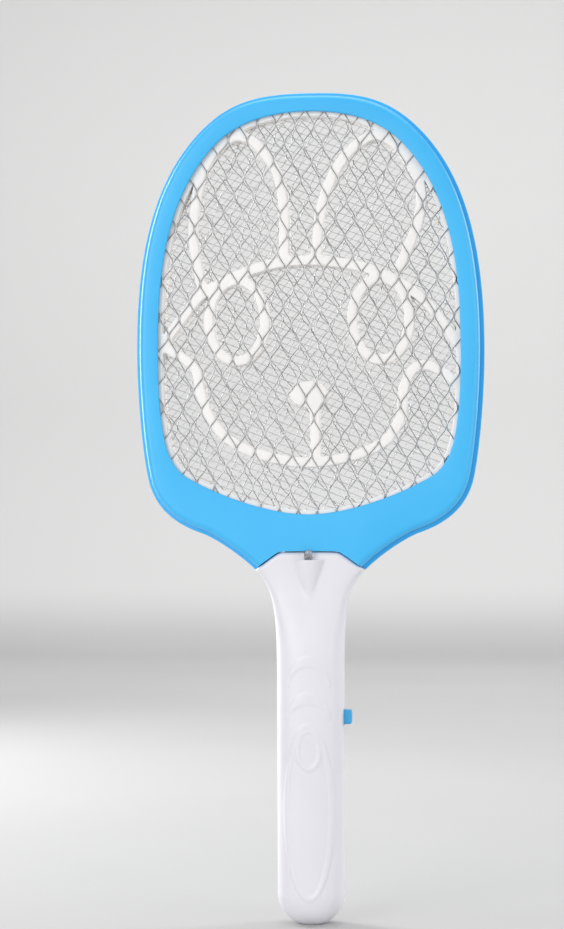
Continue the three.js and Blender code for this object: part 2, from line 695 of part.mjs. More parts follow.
function addBatteries() {
  const cellTop = CELL_BOTTOM + CELL_LENGTH + 1;
  addPiece('battery_1', cell(-CELL_X, 1), 'cell');
  addPiece('battery_2', cell(CELL_X, -1), 'cell');

  const topPlate = BAY_TOP - GAP - CONTACT_THICKNESS;
  const tabBump = bar('z', CONTACT_BUMP, cellTop + GAP, topPlate + 0.1, [-CELL_X, CELL_Y]);
  addPiece('battery_tab', contactPlate([-13, -3.6], topPlate).add(tabBump), 'contact');
  const topCoil = contactCoil(CELL_X, COIL.narrow, COIL.wide, cellTop + COIL.clearance, topPlate);
  addPiece('battery_spring', contactPlate([3.6, 13], topPlate).add(topCoil), 'contact');

  const bottomPlate = BAY_BOTTOM + GAP;
  const coilBottom = bottomPlate + CONTACT_THICKNESS;
  const coilTop = CELL_BOTTOM - COIL.clearance;
  const bottomCoil = contactCoil(-CELL_X, COIL.wide, COIL.narrow, coilBottom, coilTop);
  const bridgeBump = bar('z', CONTACT_BUMP, bottomPlate, CELL_BOTTOM - GAP, [CELL_X, CELL_Y]);
  const bridge = union([contactPlate([-13, 13], bottomPlate), bottomCoil, bridgeBump]);
  addPiece('battery_bridge', bridge, 'contact');

  const leadStart = topPlate + CONTACT_THICKNESS / 2;
  const batteryLead = (side) => {
    const route = [[3, 2, leadStart], [1.8, 1, 74], [1.8, 0, 82], [6, 0, 93.5]];
    return lead(route.map(([x, y, z]) => [side * x, y, z]));
  };
  addPiece('battery_lead_positive', batteryLead(-1), 'redWire');
  addPiece('battery_lead_negative', batteryLead(1), 'blackWire');
}

// ---------- circuit ----------

function onBoard(x, height, z) {
  return block(x, [BOARD.front - GAP - height, BOARD.front - GAP], z);
}

function circuitBoard() {
  const { halfWidth, front, rear, bottom, top } = BOARD;
  const board = block([-halfWidth, halfWidth], [front, rear], [bottom, top]);
  const holes = BOARD_SCREW_PLACES.map((place) => bar('y', SCREW.hole, 0, 10, place));
  return holes.reduce((whole, hole) => whole.subtract(hole), board);
}

function boardScrew([x, z]) {
  const headRear = BOARD.front - GAP;
  const head = bar('y', SCREW.head, headRear - SCREW.headHeight, headRear, [x, z]);
  return head.add(bar('y', SCREW.shank, headRear - 0.5, BOARD_SCREW_TIP, [x, z]));
}

// A small part with a body between two bent legs that end just above the board.
function axialPart(z, bodyRadius, bodyLength) {
  const y = BOARD.front - GAP - bodyRadius - 0.4;
  const half = bodyLength / 2;
  const reach = half + 2.2;
  const legs = [-1, 1].map((side) => {
    const across = bar('x', 0.4, Math.min(0, side * reach), Math.max(0, side * reach), [y, z], 6);
    const down = bar('y', 0.4, y - 0.4, BOARD.front - GAP, [side * reach, z], 6);
    return across.add(down);
  });
  return union([bar('x', bodyRadius, -half, half, [y, z], 10), ...legs]);
}

function discCapacitor(x) {
  const [radius, thickness, legRadius] = [3.6, 2.4, 0.35];
  const z = 142;
  const y = BOARD.front - 6.5;
  const disc = bar('x', radius, x - thickness / 2, x + thickness / 2, [y, z], 14);
  const legs = [-2, 2].map((offset) => bar('y', legRadius, y, BOARD.front - GAP, [x, z + offset], 6));
  return union([disc, ...legs]);
}

function transformer() {
  const core = onBoard([-9, 9], 12, [152, 168]);
  const windowLeft = block([-7, -4.6], [-20, 20], [155, 165]);
  const windowRight = block([4.6, 7], [-20, 20], [155, 165]);
  const bobbin = onBoard([-6.5, 6.5], 13, [154, 166]);
  return core.subtract(windowLeft).subtract(windowRight).add(bobbin);
}

function transistor() {
  const [radius, legRadius, legPitch] = [2.4, 0.3, 1.3];
  const [x, z] = [-8, 106];
  const [top, bottom] = [BOARD.front - 8, BOARD.front - 3.4];
  const body = bar('y', radius, top, bottom, [x, z], 12);
  const flat = block([x - 4, x + 4], [-20, 20], [z + radius / 2, z + 6]);
  const legs = [-legPitch, 0, legPitch].map((offset) => {
    return bar('y', legRadius, bottom - 0.6, BOARD.front - GAP, [x + offset, z], 6);
  });
  return union([body.subtract(flat), ...legs]);
}

// The push switch: a body with a bore, and a plunger that the button drives into it.
const SWITCH = { left: 3, right: 12, halfDepth: 2.6, bore: 1.9, boreEnd: 6.8 };
const PLUNGER = { radius: 1.6, start: 9.2 };

function pushSwitch() {
  const { left, right, boreEnd, bore, halfDepth } = SWITCH;
  const height = [BUTTON.z - BUTTON.height / 2, BUTTON.z + BUTTON.height / 2];
  const body = block([left, right], [-halfDepth, halfDepth], height);
  return body.subtract(bar('x', bore, boreEnd, right + 1, [0, BUTTON.z]));
}

function addCircuit() {
  addPiece('circuit_board', circuitBoard(), 'board');
  BOARD_SCREW_PLACES.forEach((place, index) => {
    addPiece(`board_screw_${index + 1}`, boardScrew(place), 'screw');
  });
  addPiece('transformer', transformer(), 'ferrite');
  addPiece('storage_capacitor', onBoard([-6, 12], 8, [174, 184]), 'film');
  [-9, 0, 9].forEach((x, index) => {
    addPiece(`multiplier_capacitor_${index + 1}`, discCapacitor(x), 'ceramic');
  });
  [130.5, 134, 148.5].forEach((z, index) => {
    addPiece(`multiplier_diode_${index + 1}`, axialPart(z, 1.3, 5), 'black');
  });
  [111.5, 115].forEach((z, index) => {
    addPiece(`resistor_${index + 1}`, axialPart(z, 1.1, 6), 'resistor');
  });
  addPiece('transistor', transistor(), 'black');
  addPiece('push_switch', pushSwitch(), 'black');
  const plungerEnd = BUTTON.stemEnd - GAP;
  const plunger = bar('x', PLUNGER.radius, PLUNGER.start, plungerEnd, [0, BUTTON.z]);
  addPiece('switch_plunger', plunger, 'white');
}

// ---------- button, lamp and leads ----------

// A round-cornered rectangle in the YZ plane, made into a slab between two X planes.
function buttonSlab(depth, height, corner, from, to) {
  const shape = new THREE.Shape();
  const [y, z] = [depth / 2, height / 2];
  shape.moveTo(-y + corner, -z);
  shape.lineTo(y - corner, -z);
  shape.absarc(y - corner, -z + corner, corner, -Math.PI / 2, 0);
  shape.absarc(y - corner, z - corner, corner, 0, Math.PI / 2);
  shape.absarc(-y + corner, z - corner, corner, Math.PI / 2, Math.PI);
  shape.absarc(-y + corner, -z + corner, corner, Math.PI, 1.5 * Math.PI);
  const settings = { depth: to - from, bevelEnabled: false, curveSegments: 3 };
  const geometry = new THREE.ExtrudeGeometry(shape, settings);
  geometry.rotateX(Math.PI / 2);
  geometry.rotateZ(Math.PI / 2);
  geometry.translate(from, 0, BUTTON.z);
  return toSolid(geometry);
}

function pushButton() {
  const { height, depth, reach, root, flange, stemEnd } = BUTTON;
  const cap = buttonSlab(depth, height, 1.2, root - 0.1, reach);
  const rim = buttonSlab(depth + 2.4, height + 2.4, 1.2, root - flange, root);
  const stem = bar('x', 1.8, stemEnd, root, [0, BUTTON.z]);
  return union([cap, rim, stem]);
}

const LAMP_LEG_X = 1.2;
const LAMP_LEG_Y = LAMP.y + 1.5;
const LAMP_LEG_END = 206;

// A round-topped lamp with two legs.
function lamp() {
  const { radius, length } = LAMP;
  const dome = length - radius;
  const arc = [0.35, 0.7, 1.1].map((angle) => [radius * Math.cos(angle), dome + radius * Math.sin(angle)]);
  const profile = [[0, 0], [radius, 0], [radius, dome], ...arc, [0, dome + radius]];
  const geometry = new THREE.LatheGeometry(profile.map(([r, h]) => new THREE.Vector2(r, h)), 14);
  geometry.rotateX(Math.PI / 2);
  const legs = [-LAMP_LEG_X, LAMP_LEG_X].map((x) => {
    return bar('z', 0.3, LAMP_LEG_END, LAMP.z + 1, [x, LAMP_LEG_Y], 6);
  });
  return union([toLampPlace(geometry), ...legs]);
}

function addControlsAndLeads() {
  addPiece('push_button', pushButton(), 'blue');
  addPiece('indicator_lamp', lamp(), 'lens');
  const legEnd = LAMP_LEG_END - GAP;
  const lampLead = (side) => {
    const start = [LAMP_LEG_X * side, LAMP_LEG_Y, legEnd];
    return lead([start, [1.6 * side, -9, 202], [3 * side, -4, 197], [4 * side, 1.8, 191]], 0.4);
  };
  addPiece('lamp_lead_1', lampLead(-1), 'redWire');
  addPiece('lamp_lead_2', lampLead(1), 'blackWire');

  const boardEdge = BOARD.top + GAP;
  const boardLeadY = (BOARD.front + BOARD.rear) / 2;
  const gridFace = -FRONT_GRID_Y - GRID_THICKNESS - GAP;
  const outerLead = (side) => {
    const x = side * GRID_TAB.x;
    const route = [[0.9, 204], [0.9, 236], [2.8, 238.7], [gridFace, 239]];
    return lead([[x, boardLeadY, boardEdge], ...route.map(([y, z]) => [x, side * y, z])]);
  };
  addPiece('front_grid_lead', outerLead(-1), 'blackWire');
  addPiece('rear_grid_lead', outerLead(1), 'blackWire');
  const gridBottom = OPENING_BOTTOM - GRID_MARGIN - GAP;
  const middleRoute = [[0, boardLeadY, boardEdge], [0, 0.6, 203], [0, 0, 210], [0, 0, gridBottom]];
  addPiece('middle_grid_lead', lead(middleRoute), 'redWire');
}

addHead();
addHandle();
addBatteries();
addCircuit();
addControlsAndLeads();

export default swatter;
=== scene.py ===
import json
import math

import bmesh
import bpy
import numpy as np
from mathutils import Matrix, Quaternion, Vector
from mathutils.geometry import delaunay_2d_cdt


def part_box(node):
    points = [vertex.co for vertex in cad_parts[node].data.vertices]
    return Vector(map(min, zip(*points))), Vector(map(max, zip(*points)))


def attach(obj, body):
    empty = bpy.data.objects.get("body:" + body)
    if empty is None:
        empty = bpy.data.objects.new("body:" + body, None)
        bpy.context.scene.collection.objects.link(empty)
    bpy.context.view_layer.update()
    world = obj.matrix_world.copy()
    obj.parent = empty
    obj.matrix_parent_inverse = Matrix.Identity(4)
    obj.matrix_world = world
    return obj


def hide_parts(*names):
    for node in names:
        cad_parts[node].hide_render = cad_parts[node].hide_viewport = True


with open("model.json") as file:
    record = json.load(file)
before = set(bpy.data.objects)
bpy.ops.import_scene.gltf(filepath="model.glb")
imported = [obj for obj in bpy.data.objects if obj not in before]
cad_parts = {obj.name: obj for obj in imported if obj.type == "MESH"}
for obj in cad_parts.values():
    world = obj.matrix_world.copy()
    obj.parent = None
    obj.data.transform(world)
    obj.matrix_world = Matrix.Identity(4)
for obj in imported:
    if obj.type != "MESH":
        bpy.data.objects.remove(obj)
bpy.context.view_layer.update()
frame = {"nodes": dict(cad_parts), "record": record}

# Lengths are in millimetres, apart from those of the lights and the paper's colours.
# X runs across the face, Y from the front (-) to the rear (+), Z up from the butt to the head.
MM = 0.001
GAP = 0.3                    # clearance between pieces

# Head
HEAD_HALF_DEPTH = 11
FRONT_INSET = 2.6            # the front frame is this much smaller all round than the rear frame
FRONT_SEAM_Y = -2            # rear edge of the front frame
REAR_SEAM_Y = -1.7           # front edge of the rear frame
LIP = 2.4                    # thickness of each frame's lip over the grids
FRAME_ROUNDING = 4
POCKET_MARGIN = 5.3          # how far the frames' pocket reaches past the opening
GRID_MARGIN = 4.1            # how far the grids reach under the frames
SPACER_MARGIN = 4.4
SPACER_INSET = 2.5           # how far the white spacers stand inside the opening
RIB_WIDTH = 6

# Handle
NECK_TOP = 222.8
NECK_TOP_HALF_WIDTH = 18.1
NECK_TIP_X = 33.4
NECK_TIP_Z = 211.8
NECK_HALF_DEPTH = 10.6
NECK_GAP = 0.5               # the handle's top stays this far below the head
NECK_CAVITY_TOP = 209
GRIP_HALF_WIDTH = 20.2
GRIP_HALF_DEPTH = 16.4
BUTT_CENTRE_Z = 19
WALL = 2.2
RELIEF = 0.55                # height of the raised ornaments
RELIEF_EDGE = 0.75           # half the width of their sloping edges
SEAM = 0.15                  # each half of the handle ends this far from the middle plane
COVER_HALF_WIDTH = 15
COVER_TOP = 76
TONGUE_HALF_WIDTH = 15
TONGUE_HALF_DEPTH = 5
TONGUE_TOP = 237
FAIRING_BOTTOM = 191
FAIRING_TOP = 217.7
FAIRING_WIDENING = 9.5       # growth of its radius from the bottom to the top
FAIRING_DEPTH = 9.6          # how far in front of the middle plane its axis starts
FAIRING_LEAN = 3.6           # how much nearer the axis is at the top
LAMP_LEAN = 0.175            # the lamp leans forward by this angle
LAMP_RADIUS = 2.45
LAMP_BASE = (-11.8, 211.5)   # Y and Z of the middle of its base
LAMP_LENGTH = 12.4


# ---------- making objects ----------

def add_object(name, data):
    obj = bpy.data.objects.new(name, data)
    bpy.context.scene.collection.objects.link(obj)
    return obj


def make_object(name, vertices, faces, weld=0.0001):
    """A mesh object from points in millimetres. Points closer than weld are merged."""
    mesh = bpy.data.meshes.new(name)
    points = np.asarray(vertices, float) * MM
    mesh.from_pydata(points.tolist(), [], [list(map(int, face)) for face in faces])
    tidy_mesh(mesh, weld * MM)
    return add_object(name, mesh)


def tidy_mesh(mesh, distance):
    """Merges close points, drops faces without area and turns the others outward."""
    work = bmesh.new()
    work.from_mesh(mesh)
    bmesh.ops.remove_doubles(work, verts=work.verts, dist=distance)
    bmesh.ops.dissolve_degenerate(work, edges=work.edges, dist=distance)
    bmesh.ops.recalc_face_normals(work, faces=work.faces)
    work.to_mesh(mesh)
    work.free()


def apply_modifiers(obj):
    graph = bpy.context.evaluated_depsgraph_get()
    mesh = bpy.data.meshes.new_from_object(obj.evaluated_get(graph))
    obj.modifiers.clear()
    obj.data = mesh


def boolean(target, tool, operation):
    """Joins, cuts or keeps the common part of two closed objects. The tool is used up."""
    modifier = target.modifiers.new("boolean", "BOOLEAN")
    modifier.operation = operation
    modifier.solver = "MANIFOLD"
    modifier.object = tool
    apply_modifiers(target)
    bpy.data.objects.remove(tool)


def cut(target, *solids):
    """Takes away solids that are given as (vertices, faces)."""
    for solid in solids:
        boolean(target, make_object("cutter", *solid), "DIFFERENCE")


def join(parts):
    """Several (vertices, faces) pairs as one."""
    vertices, faces = [], []
    for part_vertices, part_faces in parts:
        start = len(vertices)
        vertices.extend(np.asarray(part_vertices, float).tolist())
        faces.extend([[start + index for index in face] for face in part_faces])
    return vertices, faces


def finish_piece(obj, nodes, material, body="swatter", crease=32):
    """Shading, material, the body it rides on, and hiding the CAD nodes that it stands for."""
    obj.data.shade_smooth()
    obj.data.set_sharp_from_angle(angle=math.radians(crease))
    obj.data.materials.clear()
    obj.data.materials.append(MATERIALS[material])
    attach(obj, body)
    if nodes:
        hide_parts(*nodes)


# ---------- basic solids, as (vertices, faces) ----------

def loft(rings, closed=False):
    """Quads between rings of equally many points. A closed loft returns to its first ring, and an
    open one is capped at both ends."""
    count = len(rings[0])
    faces = []
    for ring in range(len(rings) if closed else len(rings) - 1):
        here, there = ring * count, (ring + 1) % len(rings) * count
        for i in range(count):
            j = (i + 1) % count
            faces.append((here + i, here + j, there + j, there + i))
    if not closed:
        faces.append(range(count))
        faces.append(range((len(rings) - 1) * count, len(rings) * count))
    return np.concatenate(rings), faces


def box(x, y, z):
    bottom = [(x[0], y[0]), (x[1], y[0]), (x[1], y[1]), (x[0], y[1])]
    return loft([np.array([(*corner, height) for corner in bottom]) for height in z])


def turned(profile, axis, centre=(0, 0, 0), sides=32):
    """A solid of revolution from (radius, distance along the axis) pairs."""
    angles = np.linspace(0, 2 * math.pi, sides, endpoint=False)
    rings = []
    for radius, along in profile:
        ring = np.zeros((sides, 3))
        others = [index for index in range(3) if index != axis]
        ring[:, others[0]] = radius * np.cos(angles)
        ring[:, others[1]] = radius * np.sin(angles)
        ring[:, axis] = along
        rings.append(ring + np.array(centre, float))
    return loft(rings)


def at_depth(points, y):
    """Points of the XZ plane moved to a Y plane."""
    return np.column_stack([points[:, 0], np.full(len(points), float(y)), points[:, 1]])


def rotation(angle):
    """Turns row vectors in a plane by an angle when they are multiplied by it."""
    return np.array([[math.cos(angle), math.sin(angle)], [-math.sin(angle), math.cos(angle)]])


def node_box(node):
    """The two corners of a CAD node's box, in millimetres."""
    return [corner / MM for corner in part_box(node)]


def node_centre(node):
    low, high = node_box(node)
    return (low + high) / 2


def along_y(nodes, profile):
    """The same solid of revolution along Y at the place of each of those nodes."""
    centres = [node_centre(node) for node in nodes]
    return [turned(profile, axis=1, centre=(centre.x, 0, centre.z)) for centre in centres]


def numbered(stem, count):
    return [f"{stem}_{index + 1}" for index in range(count)]


# ---------- outlines of the head ----------

def left_of(along):
    """Unit vectors to the left of directions in a plane."""
    unit = along / np.linalg.norm(along, axis=1)[:, None]
    return np.column_stack([-unit[:, 1], unit[:, 0]])


def bezier(curve, steps):
    """Points along a cubic curve, and the directions that point out of the outline."""
    t = np.linspace(0, 1, steps + 1)[:, None]
    a, b, c, d = (np.array(point, float) for point in curve)
    points = (1 - t) ** 3 * a + 3 * (1 - t) ** 2 * t * b + 3 * (1 - t) * t ** 2 * c + t ** 3 * d
    return points, left_of((1 - t) ** 2 * (b - a) + 2 * (1 - t) * t * (c - b) + t ** 2 * (d - c))


class Outline:
    """A closed outline, given by the curves of its right half from top to bottom."""

    def __init__(self, start, curves, steps):
        points, normals = [], []
        for (first, second, end), count in zip(curves, steps):
            curve_points, curve_normals = bezier((start, first, second, end), count)
            skip = 1 if points else 0
            points.extend(curve_points[skip:])
            normals.extend(curve_normals[skip:])
            start = end
        mirror = np.array([-1, 1])
        self.points = np.array(points + [point * mirror for point in points[-2:0:-1]])
        self.normals = np.array(normals + [normal * mirror for normal in normals[-2:0:-1]])

    def offset(self, distance):
        return self.points + distance * self.normals


CURVE_STEPS = 24
HEAD = Outline(
    (0, 500),
    [
        ((27, 500), (46.4, 498), (66.2, 477.9)),
        ((97.3, 446.6), (105.3, 398.3), (105.3, 345)),
        ((105.3, 315), (101.2, 273.8), (97.2, 262.1)),
        ((92.3, 247.8), (81.8, 239.2), (65.6, 233.6)),
        ((58.1, 231.1), (41.5, 220.1), (NECK_TIP_X, NECK_TIP_Z)),
        ((25.4, 203.6), (14, 199), (0, 199)),       # below the tips, cut off by the neck
    ],
    [CURVE_STEPS] * 6,
)
OPENING = Outline(
    (0, 487.5),
    [
        ((16, 487.5), (40.5, 484.7), (56.9, 467.5)),
        ((88.6, 434.1), (91.2, 383.6), (91.2, 345)),
        ((91.2, 322), (90.5, 307), (87.5, 291)),
        ((85.7, 281.4), (80.8, 271.3), (73.8, 267.3)),
        ((53.9, 255.7), (23.1, 244.8), (0, 244.8)),
    ],
    [CURVE_STEPS] * 4 + [2 * CURVE_STEPS],
)


def neck_line(x):
    """Height of the neck's top at x: a flat that turns softly into two slanted shoulders."""
    softness = 0.6
    slope = (NECK_TOP - NECK_TIP_Z) / (NECK_TIP_X - NECK_TOP_HALF_WIDTH)
    flat = NECK_TOP
    slant = NECK_TOP - slope * (np.abs(x) - NECK_TOP_HALF_WIDTH)
    return (flat + slant) / 2 - np.sqrt(((flat - slant) / 2) ** 2 + softness ** 2)


def neck_cutter():
    across = np.linspace(-60, 60, 121)
    top = np.column_stack([across, neck_line(across)])
    outline = np.vstack([top, [(60, 180), (-60, 180)]])
    return loft([at_depth(outline, y) for y in (-40, 40)])


# ---------- frames ----------

def quarter(radius, steps):
    """(inset, depth) pairs along a rounded edge, from the face to the side."""
    angles = [math.pi / 2 * step / steps for step in range(steps + 1)]
    return [(radius * (1 - math.sin(angle)), radius * (1 - math.cos(angle))) for angle in angles]


def frame_shell(side, inset, seam_y):
    """One blue shell: its cross-section carried round the head. side is -1 in front, 1 behind."""
    face = side * HEAD_HALF_DEPTH
    lip_y = side * (HEAD_HALF_DEPTH - LIP)
    edge, bevel = 0.6, 0.35
    rings = [at_depth(OPENING.offset(0), lip_y)]
    for back, depth in quarter(edge, 4)[::-1]:
        rings.append(at_depth(OPENING.offset(back), face - side * depth))
    for back, depth in quarter(FRAME_ROUNDING, 10):
        rings.append(at_depth(HEAD.offset(-inset - back), face - side * depth))
    rings.append(at_depth(HEAD.offset(-inset), seam_y + side * bevel))
    rings.append(at_depth(HEAD.offset(-inset - bevel), seam_y))
    rings.append(at_depth(OPENING.offset(POCKET_MARGIN), seam_y))
    rings.append(at_depth(OPENING.offset(POCKET_MARGIN), lip_y))
    return loft(rings, closed=True)


def tongue_pocket(y):
    reach = TONGUE_HALF_WIDTH + GAP
    pocket = box((-reach, reach), y, (200, TONGUE_TOP + GAP))
    lead_slot = box((-8, 8), y, (TONGUE_TOP, 242))
    return pocket, lead_slot


FRAME_SCREWS = numbered("frame_screw", 6)
NECK_SCREWS = numbered("neck_screw", 2)
HANDLE_SCREWS = numbered("handle_screw", 4)
BOARD_SCREWS = numbered("board_screw", 2)
SCREW_HOLE = 1.4
SCREW_RECESS = 2.7
HEAD_SINK = 2.1              # from the top of a screw's head down to the floor of its recess


def hole(front, rear):
    """Profile of a screw's hole between two Y planes."""
    return [(SCREW_HOLE, front), (SCREW_HOLE, rear)]


def recessed_hole(recess_y):
    """Profile of a hole that widens into the recess for the screw's head."""
    return [*hole(-10, recess_y), (SCREW_RECESS, recess_y), (SCREW_RECESS, 20)]


def add_frame(stem, side, inset, seam_y, pocket_y, holes):
    shell = make_object(f"{stem}_shell", *frame_shell(side, inset, seam_y))
    cut(shell, neck_cutter(), *tongue_pocket(pocket_y), join(holes))
    finish_piece(shell, [f"{stem}_frame"], "blue_plastic")


def add_frames():
    lip_y = HEAD_HALF_DEPTH - LIP
    pilots = along_y(FRAME_SCREWS, hole(-9.4, 5))
    add_frame("front", -1, FRONT_INSET, FRONT_SEAM_Y, (-lip_y, 5), pilots)
    recess_y = node_box("frame_screw_1")[1].y - HEAD_SINK
    holes = along_y(FRAME_SCREWS + NECK_SCREWS, recessed_hole(recess_y))
    add_frame("rear", 1, 0, REAR_SEAM_Y, (-10, lip_y), holes)


# ---------- grids ----------

def tile_quads(long, short, strand, bond, curve):
    """The upright bond above an opening and the two strands that run down from it, as (x, tilt, z)
    points. The tilt falls by 1 across each strand. curve is how far a strand bends near its ends,
    as a share of its way across."""
    top, foot = (long + bond) / 2, (long - bond) / 2
    path = ((0, 0), (0.2 - curve, 0.2), (0.8 + curve, 0.8), (1, 1))
    quads = []
    for side in (-1, 1):
        quads.append([(side * strand, -side, top), (0, 0, top), (0, 0, foot), (side * strand, -side, foot)])
        edges = []
        for across, along in path:
            inner, z = across * (short / 2 - strand), foot - along * (long / 2 - bond)
            edges.append([(side * inner, side * along, z), (side * (inner + strand), side * (along - 1), z)])
        for (inner, outer), (next_inner, next_outer) in zip(edges, edges[1:]):
            quads.append([inner, outer, next_outer, next_inner])
    return np.array(quads, float)


def mesh_tiles(long, short, strand, bond, curve, lean, shift, area):
    """Quads of an expanded-metal sheet that covers an area, as (x, tilt, z) points."""
    tile = tile_quads(long, short, strand, bond, curve)
    low, high = area.min(0), area.max(0)
    centre = (low + high) / 2 + shift
    reach = np.linalg.norm(high - low) / 2
    rows, columns = math.ceil(2 * reach / long), math.ceil(2 * reach / short)
    quads = []
    for row in range(-rows, rows + 1):
        for column in range(-columns, columns + 1):
            place = np.array([column * short / 2, row * long / 2])
            if (row + column) % 2 or np.linalg.norm(place) > reach + 2 * long:
                continue
            flat = (tile[:, :, [0, 2]] + place) @ rotation(lean) + centre
            quads.append(np.stack([flat[:, :, 0], tile[:, :, 1], flat[:, :, 1]], axis=-1))
    return np.concatenate(quads)


def clip_to_outline(quads, outline):
    """The parts of the quads inside a convex outline that runs clockwise."""
    inward = -left_of(np.roll(outline, -1, axis=0) - outline)
    level = (outline * inward).sum(1)
    depths = quads[:, :, [0, 2]] @ inward.T - level
    whole = (depths >= 0).all(axis=(1, 2))
    gone = (depths <= 0).all(axis=1).any(axis=1)
    kept = list(quads[whole])
    for quad, depth in zip(quads[~whole & ~gone], depths[~whole & ~gone]):
        polygon = list(quad)
        for edge in np.flatnonzero((depth < 0).any(axis=0)):
            polygon = clip_to_line(polygon, inward[edge], level[edge])
        if len(polygon) > 2:
            kept.append(np.array(polygon))
    return kept


def clip_to_line(polygon, inward, level):
    result = []
    for start, end in zip(polygon, polygon[1:] + polygon[:1]):
        a, b = (point[[0, 2]] @ inward - level for point in (start, end))
        if a >= 0:
            result.append(start)
        if a * b < 0:
            result.append(start + (end - start) * a / (a - b))
    return result


def grid_object(node, thickness, twist, lean, shift=(0, 0), **pattern):
    """A sheet of expanded metal under the frames. twist is the depth that a tilt of 1 stands for."""
    edge = OPENING.offset(GRID_MARGIN)
    quads = mesh_tiles(lean=math.radians(lean), shift=shift, area=edge, **pattern)
    middle = node_centre(node).y
    vertices, faces = [], []
    for polygon in clip_to_outline(quads, edge):
        start = len(vertices)
        vertices.extend((x, middle + twist * tilt, z) for x, tilt, z in polygon)
        faces.append(range(start, start + len(polygon)))
    obj = make_object(node + "_sheet", vertices, faces, weld=0.01)
    solidify = obj.modifiers.new("solidify", "SOLIDIFY")
    solidify.thickness = thickness * MM
    solidify.offset = 0
    apply_modifiers(obj)
    return obj


OUTER_SHEET = {
    "long": 21.95, "short": 11.4, "strand": 0.38, "bond": 1.5, "curve": 0.08,
    "thickness": 0.35, "twist": -0.26,
}
FINE_SHEET = {
    "long": 7.1, "short": 5.0, "strand": 0.36, "bond": 0.15, "curve": 0,
    "thickness": 0.22, "twist": 0.14,
}


def add_grids():
    sheets = (
        ("front_grid", "grid_steel", {**OUTER_SHEET, "lean": -3.9, "shift": (2, 2.6)}),
        ("middle_grid", "fine_grid_steel", {**FINE_SHEET, "lean": -76.4}),
        ("rear_grid", "grid_steel", {**OUTER_SHEET, "lean": 8.5}),
    )
    for node, material, pattern in sheets:
        finish_piece(grid_object(node, **pattern), [node], material, crease=20)


# ---------- spacers ----------

LEFT_LOOP = [
    (-15, 399), (-14.5, 422), (-17, 446), (-25, 462), (-34, 471), (-45, 474),
    (-57, 465), (-65, 450), (-69, 430), (-70, 413), (-68, 397), (-64, 380),
]
RIGHT_LOOP = [
    (4.5, 399), (6.5, 422), (11.5, 441), (19, 456), (29, 467), (41, 473),
    (54, 466), (63.5, 453), (68, 439), (66.5, 422), (61, 407), (54, 390),
]
BROW = [
    (-92, 344), (-76, 365), (-62, 380), (-30, 394), (0, 398),
    (30, 394), (47, 388), (65, 377), (77, 364), (92, 343),
]
JAW = [
    (-94, 350), (-80, 342), (-68, 332), (-66, 319), (-58, 300), (-38, 284), (0, 276),
    (38, 284), (54, 300), (57, 319), (62, 331), (70, 334), (80, 330), (94, 318),
]
CENTRE_BAR = [(4, 276), (4, 296), (3, 316)]
EYE_X, EYE_Z, EYE_HALF_WIDTH, EYE_HALF_HEIGHT = 43.5, 362, 20.3, 27.5
PAD_Z, PAD_HALF_WIDTH, PAD_HALF_HEIGHT = 317, 12, 8


def spline(points, steps):
    """Catmull-Rom points through a list, with the directions to their left."""
    known = np.array(points, float)
    padded = np.vstack([2 * known[0] - known[1], known, 2 * known[-1] - known[-2]])
    result = []
    for p0, p1, p2, p3 in zip(padded, padded[1:], padded[2:], padded[3:]):
        for t in np.linspace(0, 1, steps, endpoint=False):
            bend = (2 * p0 - 5 * p1 + 4 * p2 - p3) * t * t + (3 * p1 - p0 - 3 * p2 + p3) * t ** 3
            result.append((2 * p1 + (p2 - p0) * t + bend) / 2)
    result.append(known[-1])
    result = np.array(result)
    return result, left_of(np.gradient(result, axis=0))


def band(points, width):
    middle, left = spline(points, 10)
    return np.vstack([middle - left * width / 2, (middle + left * width / 2)[::-1]])


def ellipse(x, z, half_width, half_height):
    angles = np.linspace(0, 2 * math.pi, 72, endpoint=False)
    return np.column_stack([x + half_width * np.cos(angles), z + half_height * np.sin(angles)])


def union_loops(solids, holes_of):
    """Boundary loops of the union of outlines in a plane. holes_of gives, for the number of a
    filled outline, the tests that tell whether a region, known by its owners, is cut from it."""
    vertices, faces = [], []
    for outline in solids:
        anticlockwise = outline if signed_area(outline) > 0 else outline[::-1]
        faces.append(list(range(len(vertices), len(vertices) + len(outline))))
        vertices.extend(Vector(point) for point in anticlockwise)
    points, _, triangles, _, _, owners = delaunay_2d_cdt(vertices, [], faces, 1, 1e-4)

    def filled(owner):
        return any(
            number in owner and not any(is_cut(owner) for is_cut in cuts)
            for number, cuts in holes_of.items()
        )

    edges = {}
    for triangle, owner in zip(triangles, owners):
        if not filled(set(owner)):
            continue
        corners = list(triangle)
        if signed_area([points[index] for index in corners]) < 0:
            corners.reverse()
        for start, end in zip(corners, corners[1:] + corners[:1]):
            if (end, start) in edges:
                del edges[(end, start)]
            else:
                edges[(start, end)] = True
    follow = dict(edges.keys())
    loops = []
    while follow:
        start, current = follow.popitem()
        loop = [start]
        while current != start:
            loop.append(current)
            current = follow.pop(current)
        loops.append(np.array([points[index][:] for index in loop]))
    return loops


def signed_area(points):
    """Area inside a loop, positive where it runs anticlockwise."""
    x, z = np.array([point[:] for point in points]).T
    return (x @ np.roll(z, -1) - z @ np.roll(x, -1)) / 2


def even_loop(loop, spacing, smoothing):
    """The loop again, with evenly spaced points and softened corners."""
    closed = np.vstack([loop, loop[:1]])
    lengths = np.linalg.norm(np.diff(closed, axis=0), axis=1)
    distance = np.concatenate([[0], np.cumsum(lengths)])
    count = max(12, round(distance[-1] / spacing))
    places = np.linspace(0, distance[-1], count, endpoint=False)
    points = np.column_stack([np.interp(places, distance, closed[:, axis]) for axis in (0, 1)])
    for _ in range(smoothing):
        points = (np.roll(points, 1, axis=0) + 2 * points + np.roll(points, -1, axis=0)) / 4
    return points


